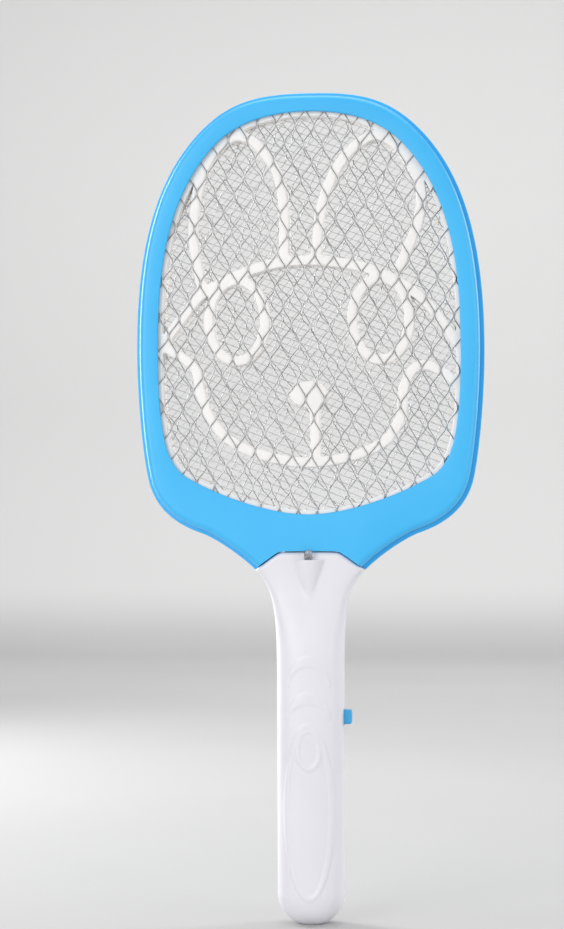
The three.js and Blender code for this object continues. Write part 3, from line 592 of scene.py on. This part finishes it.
def loop_normals(loop):
    """Directions that point away from the solid, which lies to the left of each loop."""
    return -left_of(np.roll(loop, -1, axis=0) - np.roll(loop, 1, axis=0))


def rounded_plate(loops, front, rear, radius):
    """A plate between two Y planes with rounded edges, from the loops of its outline."""
    depths = [(back, front + depth) for back, depth in quarter(radius, 3)]
    depths += [(back, rear - depth) for back, depth in quarter(radius, 3)[::-1]]
    parts = []
    for loop in loops:
        normals = loop_normals(loop)
        vertices, faces = loft([at_depth(loop - back * normals, y) for back, y in depths])
        parts.append((vertices, faces[:-2]))
    inset = [loop - radius * loop_normals(loop) for loop in loops]
    parts += [plate_cap(inset, y) for y in (front, rear)]
    return join(parts)


def plate_cap(loops, y):
    vertices, edges = [], []
    for loop in loops:
        start, count = len(vertices), len(loop)
        vertices.extend(Vector(point) for point in loop)
        edges.extend((start + i, start + (i + 1) % count) for i in range(count))
    found, _, triangles, _, _, _ = delaunay_2d_cdt(vertices, edges, [], 0, 1e-6)
    points = np.array([point[:] for point in found])
    middles = [points[list(triangle)].mean(axis=0) for triangle in triangles]
    kept = [triangle for triangle, middle in zip(triangles, middles) if inside_loops(middle, loops)]
    return at_depth(points, y), kept


def inside_loops(point, loops):
    """True if a ray from the point crosses the loops an odd number of times."""
    crossings = 0
    for loop in loops:
        ends = np.roll(loop, -1, axis=0)
        spans = (loop[:, 1] > point[1]) != (ends[:, 1] > point[1])
        rise = ends[spans, 1] - loop[spans, 1]
        across = loop[spans, 0] + (point[1] - loop[spans, 1]) / rise * (ends[spans, 0] - loop[spans, 0])
        crossings += int((across > point[0]).sum())
    return crossings % 2 == 1


def spacer_loops():
    outer, hole, margin = 0, 1, 2
    solids = [OPENING.offset(SPACER_MARGIN), OPENING.offset(-SPACER_INSET), OPENING.offset(0.5)]
    cuts = {outer: [lambda owner: hole in owner]}

    def add_rib(outline, opening=None):
        number = len(solids)
        solids.append(outline)
        cuts[number] = [lambda owner: margin not in owner]
        if opening is not None:
            solids.append(opening)
            cuts[number].append(lambda owner, hollow=number + 1: hollow in owner)

    for curve in (LEFT_LOOP, RIGHT_LOOP, BROW, JAW, CENTRE_BAR):
        add_rib(band(curve, RIB_WIDTH))
    for x in (-EYE_X, EYE_X):
        outer_ring = ellipse(x, EYE_Z, EYE_HALF_WIDTH, EYE_HALF_HEIGHT)
        inner_ring = ellipse(x, EYE_Z, EYE_HALF_WIDTH - RIB_WIDTH, EYE_HALF_HEIGHT - RIB_WIDTH)
        add_rib(outer_ring, inner_ring)
    add_rib(ellipse(0, PAD_Z, PAD_HALF_WIDTH, PAD_HALF_HEIGHT))
    loops = union_loops(solids, cuts)
    return [even_loop(loop, spacing=1.1, smoothing=4) for loop in loops if abs(signed_area(loop)) > 2]


def add_spacers():
    loops = spacer_loops()
    for node in ("front_spacer", "rear_spacer"):
        low, high = node_box(node)
        obj = make_object(node + "_web", *rounded_plate(loops, low.y, high.y, radius=0.9))
        finish_piece(obj, [node], "spacer_plastic", crease=60)


# ---------- handle ----------

def smoothstep(value, low, high):
    t = np.clip((value - low) / (high - low), 0, 1)
    return t * t * (3 - 2 * t)


def half_width(z):
    below = np.sqrt(np.maximum(GRIP_HALF_WIDTH ** 2 - (BUTT_CENTRE_Z - z) ** 2, 0))
    flare_length = 11.9
    flare = np.exp((z - NECK_TIP_Z) / flare_length)
    above = GRIP_HALF_WIDTH + (NECK_TIP_X - GRIP_HALF_WIDTH) * flare
    return np.where(z < BUTT_CENTRE_Z, below, above)


def half_depth(z):
    thinning = smoothstep(z, 160, 210)
    above = GRIP_HALF_DEPTH + (NECK_HALF_DEPTH - GRIP_HALF_DEPTH) * thinning
    return np.where(z < BUTT_CENTRE_Z, GRIP_HALF_DEPTH / GRIP_HALF_WIDTH * half_width(z), above)


def section_point(theta, z, growth):
    """x and depth of the handle's surface at angle theta, from its right side (0) to its left."""
    across, deep = np.cos(theta), np.sin(theta)
    power = 2.5 + 2.5 * smoothstep(z, 165, 212)
    reach = (np.abs(across) ** power + np.abs(deep) ** power) ** (-1 / power)
    return (half_width(z) + growth) * reach * across, (half_depth(z) + growth) * reach * deep


def ellipse_distance(x, z, half_x, half_z):
    """Rough distance from an ellipse about the origin, negative inside."""
    level = np.hypot(x / half_x, z / half_z) + 1e-9
    slope = np.hypot(x / half_x ** 2, z / half_z ** 2) / level + 1e-9
    return (level - 1) / slope


def between(outer, inner, softness):
    """1 inside the outer line and outside the inner one, with soft edges."""
    return smoothstep(-outer, -softness, softness) * smoothstep(inner, -softness, softness)


def oval_ring(x, z, centre_z, half_x, half_z, width):
    z = z - centre_z
    outer = ellipse_distance(x, z, half_x, half_z)
    inner = ellipse_distance(x, z, half_x - width, half_z - width)
    return between(outer, inner, RELIEF_EDGE)


def crescent(x, z, end_z, outer_height, inner_height):
    half_x = 12.7
    z = z - end_z
    outer = ellipse_distance(x, z, half_x, outer_height)
    inner = ellipse_distance(x, z, half_x - 1, inner_height)
    return between(outer, inner, RELIEF_EDGE) * smoothstep(z, -0.5, 1.5)


def grip_relief(x, z):
    shapes = [
        oval_ring(x, z, 67.8, 15, 52.8, 3),
        oval_ring(x, z, 104.7, 8, 12.7, 2.6),
        crescent(x, z, 122, 16.7, 9.5),
        crescent(x, z, 142, 18.4, 11.8),
    ]
    return RELIEF * np.max(shapes, axis=0)


def cover_ribs(x, z):
    lowest, pitch, half_length, half_height = 60.6, 3, 9, 0.6
    middles = [lowest + pitch * index for index in range(5)]
    ribs = [smoothstep(half_height - np.abs(z - middle), -0.25, 0.25) for middle in middles]
    return RELIEF * np.max(ribs, axis=0) * smoothstep(half_length - np.abs(x), -0.3, 0.3)


def fairing_depth(x, z):
    """How far forward the lamp's fairing reaches: a cone that leans out of the neck."""
    rise = (z - FAIRING_BOTTOM) / (FAIRING_TOP - FAIRING_BOTTOM)
    radius = 1 + FAIRING_WIDENING * rise
    axis_depth = FAIRING_DEPTH - FAIRING_LEAN * rise
    dome = np.sqrt(np.maximum(radius ** 2 - x ** 2, 0))
    depth = np.where(np.abs(x) < radius, axis_depth + dome, axis_depth - 2 * (np.abs(x) - radius))
    return np.where((rise > 0) & (rise < 1), depth, -50)


def soft_max(a, b, softness):
    return (a + b + np.sqrt((a - b) ** 2 + softness ** 2)) / 2


def edge_setback(x, z):
    """How far the rounded edge along the neck's top falls back from the face."""
    radius = 2.7
    slanted = smoothstep(np.abs(x), NECK_TOP_HALF_WIDTH - 1, NECK_TOP_HALF_WIDTH + 1)
    depth = (neck_line(x) - NECK_GAP - z) * (1 - 0.19 * slanted)
    inward = np.clip(radius - depth, 0, radius)
    return radius - np.sqrt(radius ** 2 - inward ** 2)


def end_height(theta):
    """Height at which each column of the handle's surface meets the line of the neck's top."""
    low = np.full_like(theta, 200.0)
    high = np.full_like(theta, NECK_TOP + 1)
    for _ in range(40):
        middle = (low + high) / 2
        x, _ = section_point(theta, middle, 0)
        under = middle < neck_line(x) - NECK_GAP
        low = np.where(under, middle, low)
        high = np.where(under, high, middle)
    return low


def butt_heights(rows):
    start = math.acos(BUTT_CENTRE_Z / GRIP_HALF_WIDTH)
    return BUTT_CENTRE_Z - GRIP_HALF_WIDTH * np.cos(np.linspace(start, math.pi / 2, rows))


NECK_START = 190


def handle_rows(fine):
    """Heights of the rows below the neck, and the fractions at which rows divide the neck."""
    low, high, step = fine
    body = [butt_heights(24), np.arange(BUTT_CENTRE_Z + 1.2, low, 1.4), np.arange(low, high, step)]
    body.append(np.arange(high, NECK_START, 1.2))
    ledge = [FAIRING_TOP - 0.08, FAIRING_TOP + 0.08]
    below = np.linspace(NECK_START, FAIRING_TOP - 0.5, 46)
    top = NECK_TOP - NECK_GAP
    above = top - 4.1 * (1 - np.sin(np.linspace(0, math.pi / 2, 18)))
    neck = np.concatenate([below, ledge, above])
    return np.concatenate(body), (neck - NECK_START) / (top - NECK_START)


def handle_angles(z, columns):
    """Angles of the columns at height z, with two rows of points along each seam."""
    seam = np.arcsin(SEAM / half_depth(z))
    bevel = np.arcsin(0.5 / half_depth(z))
    share = np.linspace(0, 1, columns)
    middle = bevel[..., None] + (math.pi - 2 * bevel[..., None]) * share
    return np.concatenate([seam[..., None], middle, math.pi - seam[..., None]], axis=-1)


def outer_half(side, fine, columns, relief):
    """A solid half of the handle: front (-1) with its lamp fairing, or rear (1)."""
    body_z, fractions = handle_rows(fine)
    neck_theta = handle_angles(np.array(NECK_START), columns)
    ends = end_height(neck_theta)
    body_theta = handle_angles(body_z, columns)
    body_heights = np.repeat(body_z[:, None], columns + 2, axis=1)
    neck_heights = NECK_START + fractions[:, None] * (ends - NECK_START)[None, :]
    theta = np.vstack([body_theta, np.repeat(neck_theta[None, :], len(fractions), axis=0)])
    z = np.vstack([body_heights, neck_heights])
    x, _ = section_point(theta, z, 0)
    growth = relief(x, z)
    growth[:, [0, -1]] -= 0.25
    x, depth = section_point(theta, z, growth)
    if side < 0:
        depth = np.where(z > FAIRING_BOTTOM - 2, soft_max(depth, fairing_depth(x, z), 0.8), depth)
    depth = depth - np.where(z > NECK_START, edge_setback(x, z) * smoothstep(depth, 0, 6), 0)
    depth[:, [0, -1]] = SEAM
    return half_solid(side, x, depth, z)


def half_solid(side, x, depth, z):
    """Closes a surface of rows and columns with a flat face on the middle plane."""
    rows, columns = z.shape
    surface = np.stack([x, side * depth, z], axis=-1).reshape(-1, 3)
    inner_top = np.column_stack([x[-1, 1:-1], np.full(columns - 2, side * SEAM), z[-1, 1:-1]])
    vertices = np.vstack([surface, inner_top])
    faces = []
    for row in range(rows - 1):
        start = row * columns
        for i in range(start, start + columns - 1):
            faces.append((i, i + 1, i + columns + 1, i + columns))
        faces.append((start, start + columns - 1, start + 2 * columns - 1, start + columns))
    faces.append(range(columns))
    last = (rows - 1) * columns
    middle = [last, *range(rows * columns, rows * columns + columns - 2), last + columns - 1]
    for i in range(columns - 1):
        ring = [last + i, last + i + 1, middle[i + 1], middle[i]]
        faces.append(sorted(set(ring), key=ring.index))
    faces.append(middle)
    return vertices, faces


def plain_half(side, growth, bottom, top, reach):
    """A plainer half form inside the handle. Its flat face reaches past the middle plane."""
    heights = np.concatenate([[bottom], np.arange(bottom + 2, 24, 2), np.arange(24, top, 8), [top]])
    theta = np.linspace(0, math.pi, 41)
    rings = []
    for z in heights:
        x, depth = section_point(theta, np.full_like(theta, z), growth)
        arc = np.column_stack([x, side * depth, np.full_like(x, z)])
        flat = [(x[-1], -side * reach, z), (x[0], -side * reach, z)]
        rings.append(np.vstack([arc, flat]))
    return loft(rings)


def inner_features(side):
    """Walls across the battery bay and posts for the screws, trimmed to the inside of the shell."""
    walls = [box((-25, 25), (-20, 20), heights) for heights in ((72.5, 74.1), (10, 11.6))]
    posts = along_y(HANDLE_SCREWS, [(3.2, -18), (3.2, 18)])
    if side > 0:
        board_rear = node_box("circuit_board")[1].y + GAP
        posts += along_y(BOARD_SCREWS, [(2.6, board_rear), (2.6, 18)])
    features = make_object("features", *join([*walls, *posts]))
    trim = plain_half(side, -WALL / 2, WALL / 2, NECK_CAVITY_TOP, -SEAM)
    boolean(features, make_object("trim", *trim), "INTERSECT")
    return features


def handle_shell(name, side, fine, columns, relief):
    """One half of the handle with its hollow, inner walls, posts and tongue."""
    shell = make_object(name, *outer_half(side, fine, columns, relief))
    cut(shell, plain_half(side, -WALL, WALL, NECK_CAVITY_TOP, 2))
    boolean(shell, inner_features(side), "UNION")
    depth = sorted((side * SEAM, side * TONGUE_HALF_DEPTH))
    tongue = box((-TONGUE_HALF_WIDTH, TONGUE_HALF_WIDTH), depth, (NECK_CAVITY_TOP + 1, TONGUE_TOP))
    boolean(shell, make_object("tongue", *tongue), "UNION")
    return shell


def common_cutters():
    """The button's window, the leads' channel through the tongue and their notch in a wall."""
    channel = box((-7, 7), (-2, 2), (NECK_CAVITY_TOP - 1, TONGUE_TOP + 1))
    button_z = node_centre("push_button").z
    window = box((10, 30), (-4, 4), (button_z - 4.6, button_z + 4.6))
    notch = box((-3, 3), (-8, 8), (71.5, 75.5))
    return [channel, window, notch]


def lamp_tilt(solid):
    """Moves a solid that stands on the XY plane to the lamp's place, leaning forward."""
    vertices, faces = solid
    points = np.array(vertices, float)
    points[:, 1:] = points[:, 1:] @ rotation(LAMP_LEAN) + LAMP_BASE
    return points, faces


def lamp_pocket():
    radius = LAMP_RADIUS + GAP
    return lamp_tilt(turned([(radius, -GAP), (radius, 25)], axis=2))


def add_handle():
    neck_holes = along_y(NECK_SCREWS, hole(-20, 20))
    front = handle_shell("handle_front_shell", -1, (11, 164, 0.6), 130, grip_relief)
    passage = box((-2.6, 2.6), (LAMP_BASE[0] + 0.8, -5), (200, LAMP_BASE[1] + 1))
    pilots = along_y(HANDLE_SCREWS, hole(-9, 5))
    cut(front, join([*common_cutters(), *pilots, *neck_holes]), passage, lamp_pocket())
    finish_piece(front, ["handle_front"], "white_plastic")

    rear = handle_shell("handle_rear_shell", 1, (57, COVER_TOP, 0.3), 96, cover_ribs)
    cover = add_object("battery_cover_panel", rear.data.copy())
    cover_opening = box((-COVER_HALF_WIDTH, COVER_HALF_WIDTH), (-5, 30), (-5, COVER_TOP))
    holes = along_y(HANDLE_SCREWS, recessed_hole(6.2)) + along_y(BOARD_SCREWS, hole(0, 9.8))
    cut(rear, cover_opening, join([*common_cutters(), *holes, *neck_holes]))
    finish_piece(rear, ["handle_rear"], "white_plastic")
    shape_cover(cover)


def shape_cover(cover):
    half = COVER_HALF_WIDTH - GAP
    panel = box((-half, half), (SEAM + GAP, 30), (-5, COVER_TOP - GAP))
    boolean(cover, make_object("cover_panel", *panel), "INTERSECT")
    cut(cover, plain_half(1, -WALL, WALL, 100, 2))
    finish_piece(cover, ["battery_cover"], "white_plastic", body="cover")


# ---------- button and lamp ----------

def rounded_rectangle(half_y, half_z, corner):
    arc = np.linspace(0, math.pi / 2, 8)
    points = []
    for turns, (side_y, side_z) in enumerate(((1, 1), (-1, 1), (-1, -1), (1, -1))):
        angles = arc + turns * math.pi / 2
        y = side_y * (half_y - corner) + corner * np.cos(angles)
        z = side_z * (half_z - corner) + corner * np.sin(angles)
        points.append(np.column_stack([y, z]))
    return np.vstack(points)


def add_button():
    low, high = node_box("push_button")
    middle_z = (low.z + high.z) / 2
    half_y, half_z, corner = 3.6, 4.2, 1.3
    root, edge, crown = 17, 0.9, 0.25
    face = high.x - crown

    def ring(x, back, flare=0):
        growth = flare - back
        outline = rounded_rectangle(half_y + growth, half_z + growth, max(corner + growth, 0.2))
        return np.column_stack([np.full(len(outline), x), outline[:, 0], outline[:, 1] + middle_z])

    rings = [ring(low.x + 0.3, 0.3, flare=1.2), ring(root, 0, flare=1.2), ring(root + 0.05, 0, flare=0.4)]
    rings.append(ring(face - edge, 0))
    for back, depth in quarter(edge, 6)[::-1]:
        rings.append(ring(face - depth, back))
    for back, rise in ((1.8, 0.12), (2.6, 0.2), (3.2, crown)):
        rings.append(ring(face + rise, back))
    obj = make_object("push_button_cap", *loft(rings))
    # The button's darker blue material is painted shade, not a different plastic.
    finish_piece(obj, ["push_button"], "shaded_button_blue", body="button", crease=40)


def add_lamp():
    dome_start = LAMP_LENGTH - LAMP_RADIUS
    flange = LAMP_RADIUS + 0.25
    profile = [(flange, 0), (flange, 1), (LAMP_RADIUS, 1.05), (LAMP_RADIUS, dome_start)]
    for step in range(1, 10):
        angle = math.pi / 2 * step / 10
        profile.append((LAMP_RADIUS * math.cos(angle), dome_start + LAMP_RADIUS * math.sin(angle)))
    lens = make_object("indicator_lamp_lens", *lamp_tilt(turned(profile, axis=2, sides=48)))
    finish_piece(lens, ["indicator_lamp"], "lamp_lens")
    low_post = box((-1.5, -0.5), (-0.35, 0.35), (0.4, 8.2))
    cup = box((-1.7, 0.5), (-0.5, 0.5), (8.2, 9.4))
    high_post = box((0.9, 1.5), (-0.35, 0.35), (0.4, 9.0))
    for name, parts in (("lamp_anvil", [low_post, cup]), ("lamp_post", [high_post])):
        finish_piece(make_object(name, *lamp_tilt(join(parts))), [], "screw_steel")


# ---------- batteries ----------

# Material and profile of each part of a cell, from its base to its cap.
CELL_PARTS = {
    "sleeve": ("cell_case", [(6.2, 0.5), (6.9, 0.55), (7.1, 0.85), (7.1, 37)]),
    "band": ("black_plastic", [(7.1, 37.05), (7.1, 47.7), (6.95, 47.95), (6.95, 48.3), (7.05, 48.6),
                               (6.9, 48.95), (6.1, 49)]),
    "base": ("screw_steel", [(0.1, 0.2), (3.4, 0.2), (3.6, 0), (5.8, 0), (6.15, 0.35), (6.15, 1)]),
    "cap": ("screw_steel", [(6.05, 48.5), (6.05, 49.1), (3, 49.2), (2.7, 49.4), (2.7, 50), (2.5, 50.2),
                            (0.1, 50.2)]),
}


def add_batteries():
    """Two cells side by side, the first with its cap up and the second with its cap down."""
    for node, direction in (("battery_1", 1), ("battery_2", -1)):
        low, high = node_box(node)
        centre = node_centre(node)
        base = (centre.x, centre.y, low.z if direction > 0 else high.z)
        for part, (material, profile) in CELL_PARTS.items():
            placed = [(radius, direction * along) for radius, along in profile]
            obj = make_object(f"{node}_{part}", *turned(placed, axis=2, centre=base, sides=48))
            finish_piece(obj, [node] if part == "sleeve" else [], material)


# ---------- screws ----------

THREAD_RADIUS = 1.1


def add_screw(node, length):
    """A pan-head screw with a cross recess, its head towards the rear."""
    head, height, rim, root = 2.3, 1.75, 0.5, 0.7 * THREAD_RADIUS
    profile = [(0.1, -length), (root, 1.4 - length), (root, -0.2), (0.55 * head, 0), (head, 0), (head, rim)]
    for step in range(1, 6):
        angle = math.pi / 2 * step / 6
        profile.append((head * math.cos(angle), rim + (height - rim) * math.sin(angle)))
    profile.append((0.15, height))
    screw = make_object(node + "_detail", *turned(profile, axis=1, sides=40))
    cut(screw, recess_blade(0), recess_blade(math.pi / 2))
    boolean(screw, make_object("thread", *screw_thread(length)), "UNION")
    centre = node_centre(node)
    place = Vector((centre.x, node_box(node)[1].y - 1.8, centre.z)) * MM
    for vertex in screw.data.vertices:
        vertex.co += place
    finish_piece(screw, [node], "screw_steel")


def recess_blade(angle):
    """One blade of the cross recess, wider towards the top of the head."""
    rings = []
    for y, long, wide in ((0.5, 0.6, 0.24), (2, 1.44, 0.312)):
        corners = np.array([(-long, -wide), (long, -wide), (long, wide), (-long, wide)])
        rings.append(at_depth(corners @ rotation(angle), y))
    return loft(rings)


def screw_thread(length):
    """Coarse thread ridges as a stack of cones along the shank."""
    pitch, root = 1.3, 0.66 * THREAD_RADIUS
    along = 1.6 - length
    profile = [(0.05, along)]
    while along < -1.5:
        profile += [(root, along), (THREAD_RADIUS, along + 0.4 * pitch), (root, along + 0.8 * pitch)]
        along += pitch
    profile.append((0.05, along))
    return turned(profile, axis=1, sides=24)


def add_screws():
    for nodes, length in ((FRAME_SCREWS, 16), (NECK_SCREWS, 11), (HANDLE_SCREWS, 14)):
        for node in nodes:
            add_screw(node, length)


# ---------- materials ----------

def set_sockets(node, values):
    """Sets input sockets by name. An underscore stands for a space."""
    for socket, value in values.items():
        node.inputs[socket.replace("_", " ")].default_value = value


def add_node(tree, kind, **values):
    node = tree.nodes.new("ShaderNode" + kind)
    set_sockets(node, values)
    return node


def noise(tree, scale, detail, run):
    """A noise value over the object, with features of about 1 / scale metres."""
    place = add_node(tree, "TexCoord")
    mapping = add_node(tree, "Mapping", Scale=run)
    texture = add_node(tree, "TexNoise", Scale=scale, Detail=detail)
    tree.links.new(place.outputs["Object"], mapping.inputs["Vector"])
    tree.links.new(mapping.outputs["Vector"], texture.inputs["Vector"])
    return texture.outputs["Fac"]


def blend_colours(tree, factor, dark, light):
    ramp = add_node(tree, "ValToRGB")
    for element, position, colour in zip(ramp.color_ramp.elements, (0.35, 0.65), (dark, light)):
        element.position = position
        element.color = (*colour, 1)
    tree.links.new(factor, ramp.inputs["Fac"])
    return ramp.outputs["Color"]


def spread(tree, factor, low, high):
    """The noise value stretched to a range, as for roughness."""
    mapped = add_node(tree, "MapRange", From_Min=0.3, From_Max=0.7, To_Min=low, To_Max=high)
    tree.links.new(factor, mapped.inputs["Value"])
    return mapped.outputs["Result"]


EVEN = (1, 1, 1)
ALONG_X = (0.15, 1, 1)
ALONG_Z = (1, 1, 0.15)


def surface(name, dark, light, patch, grain, roughness, bump=(0.2, 0.03), patch_run=EVEN,
            grain_run=EVEN, **sockets):
    """A material with patches of two near colours, uneven roughness and a fine bump. patch and
    grain are the scales of the two noises, the runs stretch them, and bump is (strength, depth)."""
    material = bpy.data.materials.new(name)
    material.use_nodes = True
    tree, links = material.node_tree, material.node_tree.links
    shader = tree.nodes["Principled BSDF"]
    patches = noise(tree, patch, 3, patch_run)
    grains = noise(tree, grain, 4, grain_run)
    relief = add_node(tree, "Bump", Strength=bump[0], Distance=bump[1] * MM)
    links.new(blend_colours(tree, patches, dark, light), shader.inputs["Base Color"])
    links.new(spread(tree, grains, *roughness), shader.inputs["Roughness"])
    links.new(grains, relief.inputs["Height"])
    links.new(relief.outputs["Normal"], shader.inputs["Normal"])
    set_sockets(shader, sockets)
    return material


def make_materials():
    made = {}

    def add(name, *args, **settings):
        made[name] = surface(name, *args, **settings)

    def add_shell_plastic(name, dark, light, grain, coat):
        add(name, dark, light, 14, grain, (0.38, 0.48), (0.12, 0.05), Coat_Weight=coat, Coat_Roughness=0.25)

    def add_metal(name, *args):
        add(name, *args, Metallic=1)

    add_shell_plastic("blue_plastic", (0.045, 0.49, 0.93), (0.054, 0.525, 0.96), 1400, 0.12)
    # A darker copy of the blue plastic for the push button: painted shade, because the button sits on the
    # shadowed side.
    add_shell_plastic("shaded_button_blue", (0.045, 0.39, 0.74), (0.053, 0.42, 0.78), 1400, 0.12)
    add_shell_plastic("white_plastic", (0.8, 0.79, 0.835), (0.83, 0.82, 0.86), 1300, 0.1)
    add("spacer_plastic", (0.92, 0.905, 0.885), (0.95, 0.94, 0.92), 20, 1500, (0.4, 0.55), (0.12, 0.05))
    add_metal("grid_steel", (0.34, 0.34, 0.345), (0.44, 0.44, 0.44), 260, 2600, (0.32, 0.48))
    add_metal("fine_grid_steel", (0.6, 0.6, 0.605), (0.72, 0.72, 0.72), 260, 2600, (0.28, 0.42))
    add_metal("screw_steel", (0.48, 0.48, 0.49), (0.6, 0.6, 0.6), 400, 3000, (0.22, 0.36), (0.15, 0.02))
    add_metal("contact_metal", (0.62, 0.6, 0.55), (0.74, 0.72, 0.67), 300, 2500, (0.18, 0.3), (0.1, 0.02))
    add("cell_case", (0.03, 0.2, 0.09), (0.04, 0.24, 0.11), 60, 1800, (0.25, 0.35), (0.1, 0.02),
        grain_run=ALONG_Z, Metallic=0.3)
    add("board_laminate", (0.36, 0.19, 0.06), (0.46, 0.26, 0.09), 500, 2000, (0.5, 0.65), (0.3, 0.04),
        patch_run=ALONG_Z, grain_run=ALONG_X)
    add("transformer_tape", (0.62, 0.39, 0.05), (0.7, 0.46, 0.07), 300, 1600, (0.35, 0.5), (0.25, 0.04),
        patch_run=ALONG_X, grain_run=ALONG_X)
    add("film_coating", (0.3, 0.045, 0.02), (0.37, 0.06, 0.028), 160, 1300, (0.2, 0.32), (0.2, 0.04))
    add("ceramic_coating", (0.025, 0.14, 0.4), (0.035, 0.17, 0.47), 200, 1500, (0.2, 0.35), (0.2, 0.04))
    add("black_plastic", (0.012, 0.012, 0.013), (0.02, 0.02, 0.021), 200, 2200, (0.4, 0.6))
    add("resistor_body", (0.55, 0.4, 0.22), (0.62, 0.47, 0.27), 400, 1800, (0.35, 0.5))
    add("red_insulation", (0.42, 0.018, 0.012), (0.5, 0.025, 0.018), 120, 1700, (0.35, 0.5), (0.1, 0.03))
    add("black_insulation", (0.014, 0.014, 0.015), (0.022, 0.022, 0.023), 120, 1700,
        (0.35, 0.5), (0.1, 0.03))
    add("lamp_lens", (0.95, 0.96, 0.97), (0.99, 0.99, 1), 300, 900, (0.02, 0.06), (0.03, 0.02),
        Transmission_Weight=1, IOR=1.5)
    return made


MATERIALS = make_materials()


def finish_cad_nodes():
    """Gives every CAD node the procedural material of its slot."""
    for part in frame["record"]["subparts"]:
        mesh = frame["nodes"][part["node"]].data
        mesh.materials.clear()
        mesh.materials.append(MATERIALS[part["material_slot"]])


# ---------- stage ----------

CAMERA_AZIMUTH = math.radians(6)
CAMERA_DISTANCE = 1300
CAMERA_HEIGHT = 235
VIEW_HEIGHT = 560.3          # what the picture's height spans at the object
AIM_LEFT = 16.9              # the picture's middle is this far left of the object's middle line
AIM_Z = 275
CAMERA_ROLL = math.radians(-0.2)


def aim(obj, place, target, roll=0):
    """Puts a camera or light at a place and points it at a target, both in metres."""
    obj.location = place
    obj.rotation_mode = "QUATERNION"
    sight = Vector(target) - Vector(place)
    obj.rotation_quaternion = sight.to_track_quat("-Z", "Y") @ Quaternion((0, 0, 1), roll)


def add_camera():
    data = bpy.data.cameras.new("camera")
    data.sensor_width = 36
    data.lens = data.sensor_width * CAMERA_DISTANCE / VIEW_HEIGHT
    camera = add_object("camera", data)
    right = Vector((math.cos(CAMERA_AZIMUTH), math.sin(CAMERA_AZIMUTH), 0))
    away = Vector((math.sin(CAMERA_AZIMUTH), -math.cos(CAMERA_AZIMUTH), 0))
    target = -AIM_LEFT * right + Vector((0, 0, AIM_Z))
    place = target + CAMERA_DISTANCE * away
    place.z = CAMERA_HEIGHT
    aim(camera, place * MM, target * MM, CAMERA_ROLL)
    bpy.context.scene.camera = camera


# The floor and the foot of the bend are painted darker than the wall as shade, which fades out by this
# height.
WALL_COLOUR = (0.73, 0.727, 0.72, 1)
FLOOR_SHADE_TOP = 0.13    # metres above the floor


def paper():
    """Pale paper with painted shade: darker on the floor and at the foot of the bend, turning lighter up to
    the wall's colour.
    """
    material = surface("paper", (0.525, 0.524, 0.521), (0.545, 0.543, 0.54), 2, 300,
                       (0.75, 0.85), (0.05, 0.1))
    tree, links = material.node_tree, material.node_tree.links
    base_colour = tree.nodes["Principled BSDF"].inputs["Base Color"]
    place = add_node(tree, "TexCoord")
    height = add_node(tree, "SeparateXYZ")
    # Painted shade: the darker floor colour blends into the lighter wall colour with height.
    rise = add_node(tree, "MapRange", From_Max=FLOOR_SHADE_TOP)
    rise.interpolation_type = "SMOOTHSTEP"
    painted_shade_mix = add_node(tree, "MixRGB", Color2=WALL_COLOUR)
    links.new(place.outputs["Object"], height.inputs["Vector"])
    links.new(height.outputs["Z"], rise.inputs["Value"])
    links.new(rise.outputs["Result"], painted_shade_mix.inputs["Fac"])
    links.new(base_colour.links[0].from_socket, painted_shade_mix.inputs["Color1"])
    links.new(painted_shade_mix.outputs["Color"], base_colour)
    return material


def add_floor():
    """A pale floor that curves up into a wall; the paper is painted darker towards the floor as shade."""
    front_y, wall_y, bend, half_width, wall_height = -4000, 3200, 500, 6000, 5000
    profile = [(front_y, 0), (wall_y - bend, 0)]
    for step in range(1, 13):
        angle = math.pi / 2 * step / 12
        profile.append((wall_y - bend + bend * math.sin(angle), bend * (1 - math.cos(angle))))
    profile.append((wall_y, wall_height))
    vertices = [(x, y, z) for x in (-half_width, half_width) for y, z in profile]
    count = len(profile)
    faces = [(i, i + 1, count + i + 1, count + i) for i in range(count - 1)]
    floor = make_object("floor", vertices, faces)
    floor.data.shade_smooth()
    floor.data.materials.append(paper())


def add_area_light(name, place, target, size, power):
    data = bpy.data.lights.new(name, "AREA")
    data.shape = "RECTANGLE"
    data.size, data.size_y = size
    data.energy = power
    aim(add_object(name, data), place, target)


OBJECT_MIDDLE = (0, 0, 0.27)
LIGHTS = (
    ("key", (-1.2, -1.9, 0.75), OBJECT_MIDDLE, (1.4, 1.4), 22),
    ("fill", (1.9, -1.4, 0.5), OBJECT_MIDDLE, (1.2, 1.2), 12),
    ("rim_left", (-1.1, 0.85, 0.6), OBJECT_MIDDLE, (0.5, 1.0), 17),
    ("rim_right", (1.25, 0.8, 0.7), OBJECT_MIDDLE, (0.5, 0.9), 8),
    ("top", (0, 0.2, 1.6), OBJECT_MIDDLE, (1.2, 0.8), 8),
    ("backdrop", (0, 1.8, 1.35), (0, 3.0, 0.1), (3.0, 0.6), 17),
)


def add_lights():
    for light in LIGHTS:
        add_area_light(*light)
    world = bpy.data.worlds.new("studio")
    world.use_nodes = True
    background = world.node_tree.nodes["Background"]
    background.inputs["Color"].default_value = (0.93, 0.93, 0.95, 1)
    background.inputs["Strength"].default_value = 0.55
    bpy.context.scene.world = world
    bpy.context.scene.view_settings.view_transform = "Standard"


add_camera()
add_frames()
add_grids()
add_spacers()
add_handle()
add_button()
add_lamp()
add_batteries()
add_screws()
finish_cad_nodes()
add_floor()
add_lights()
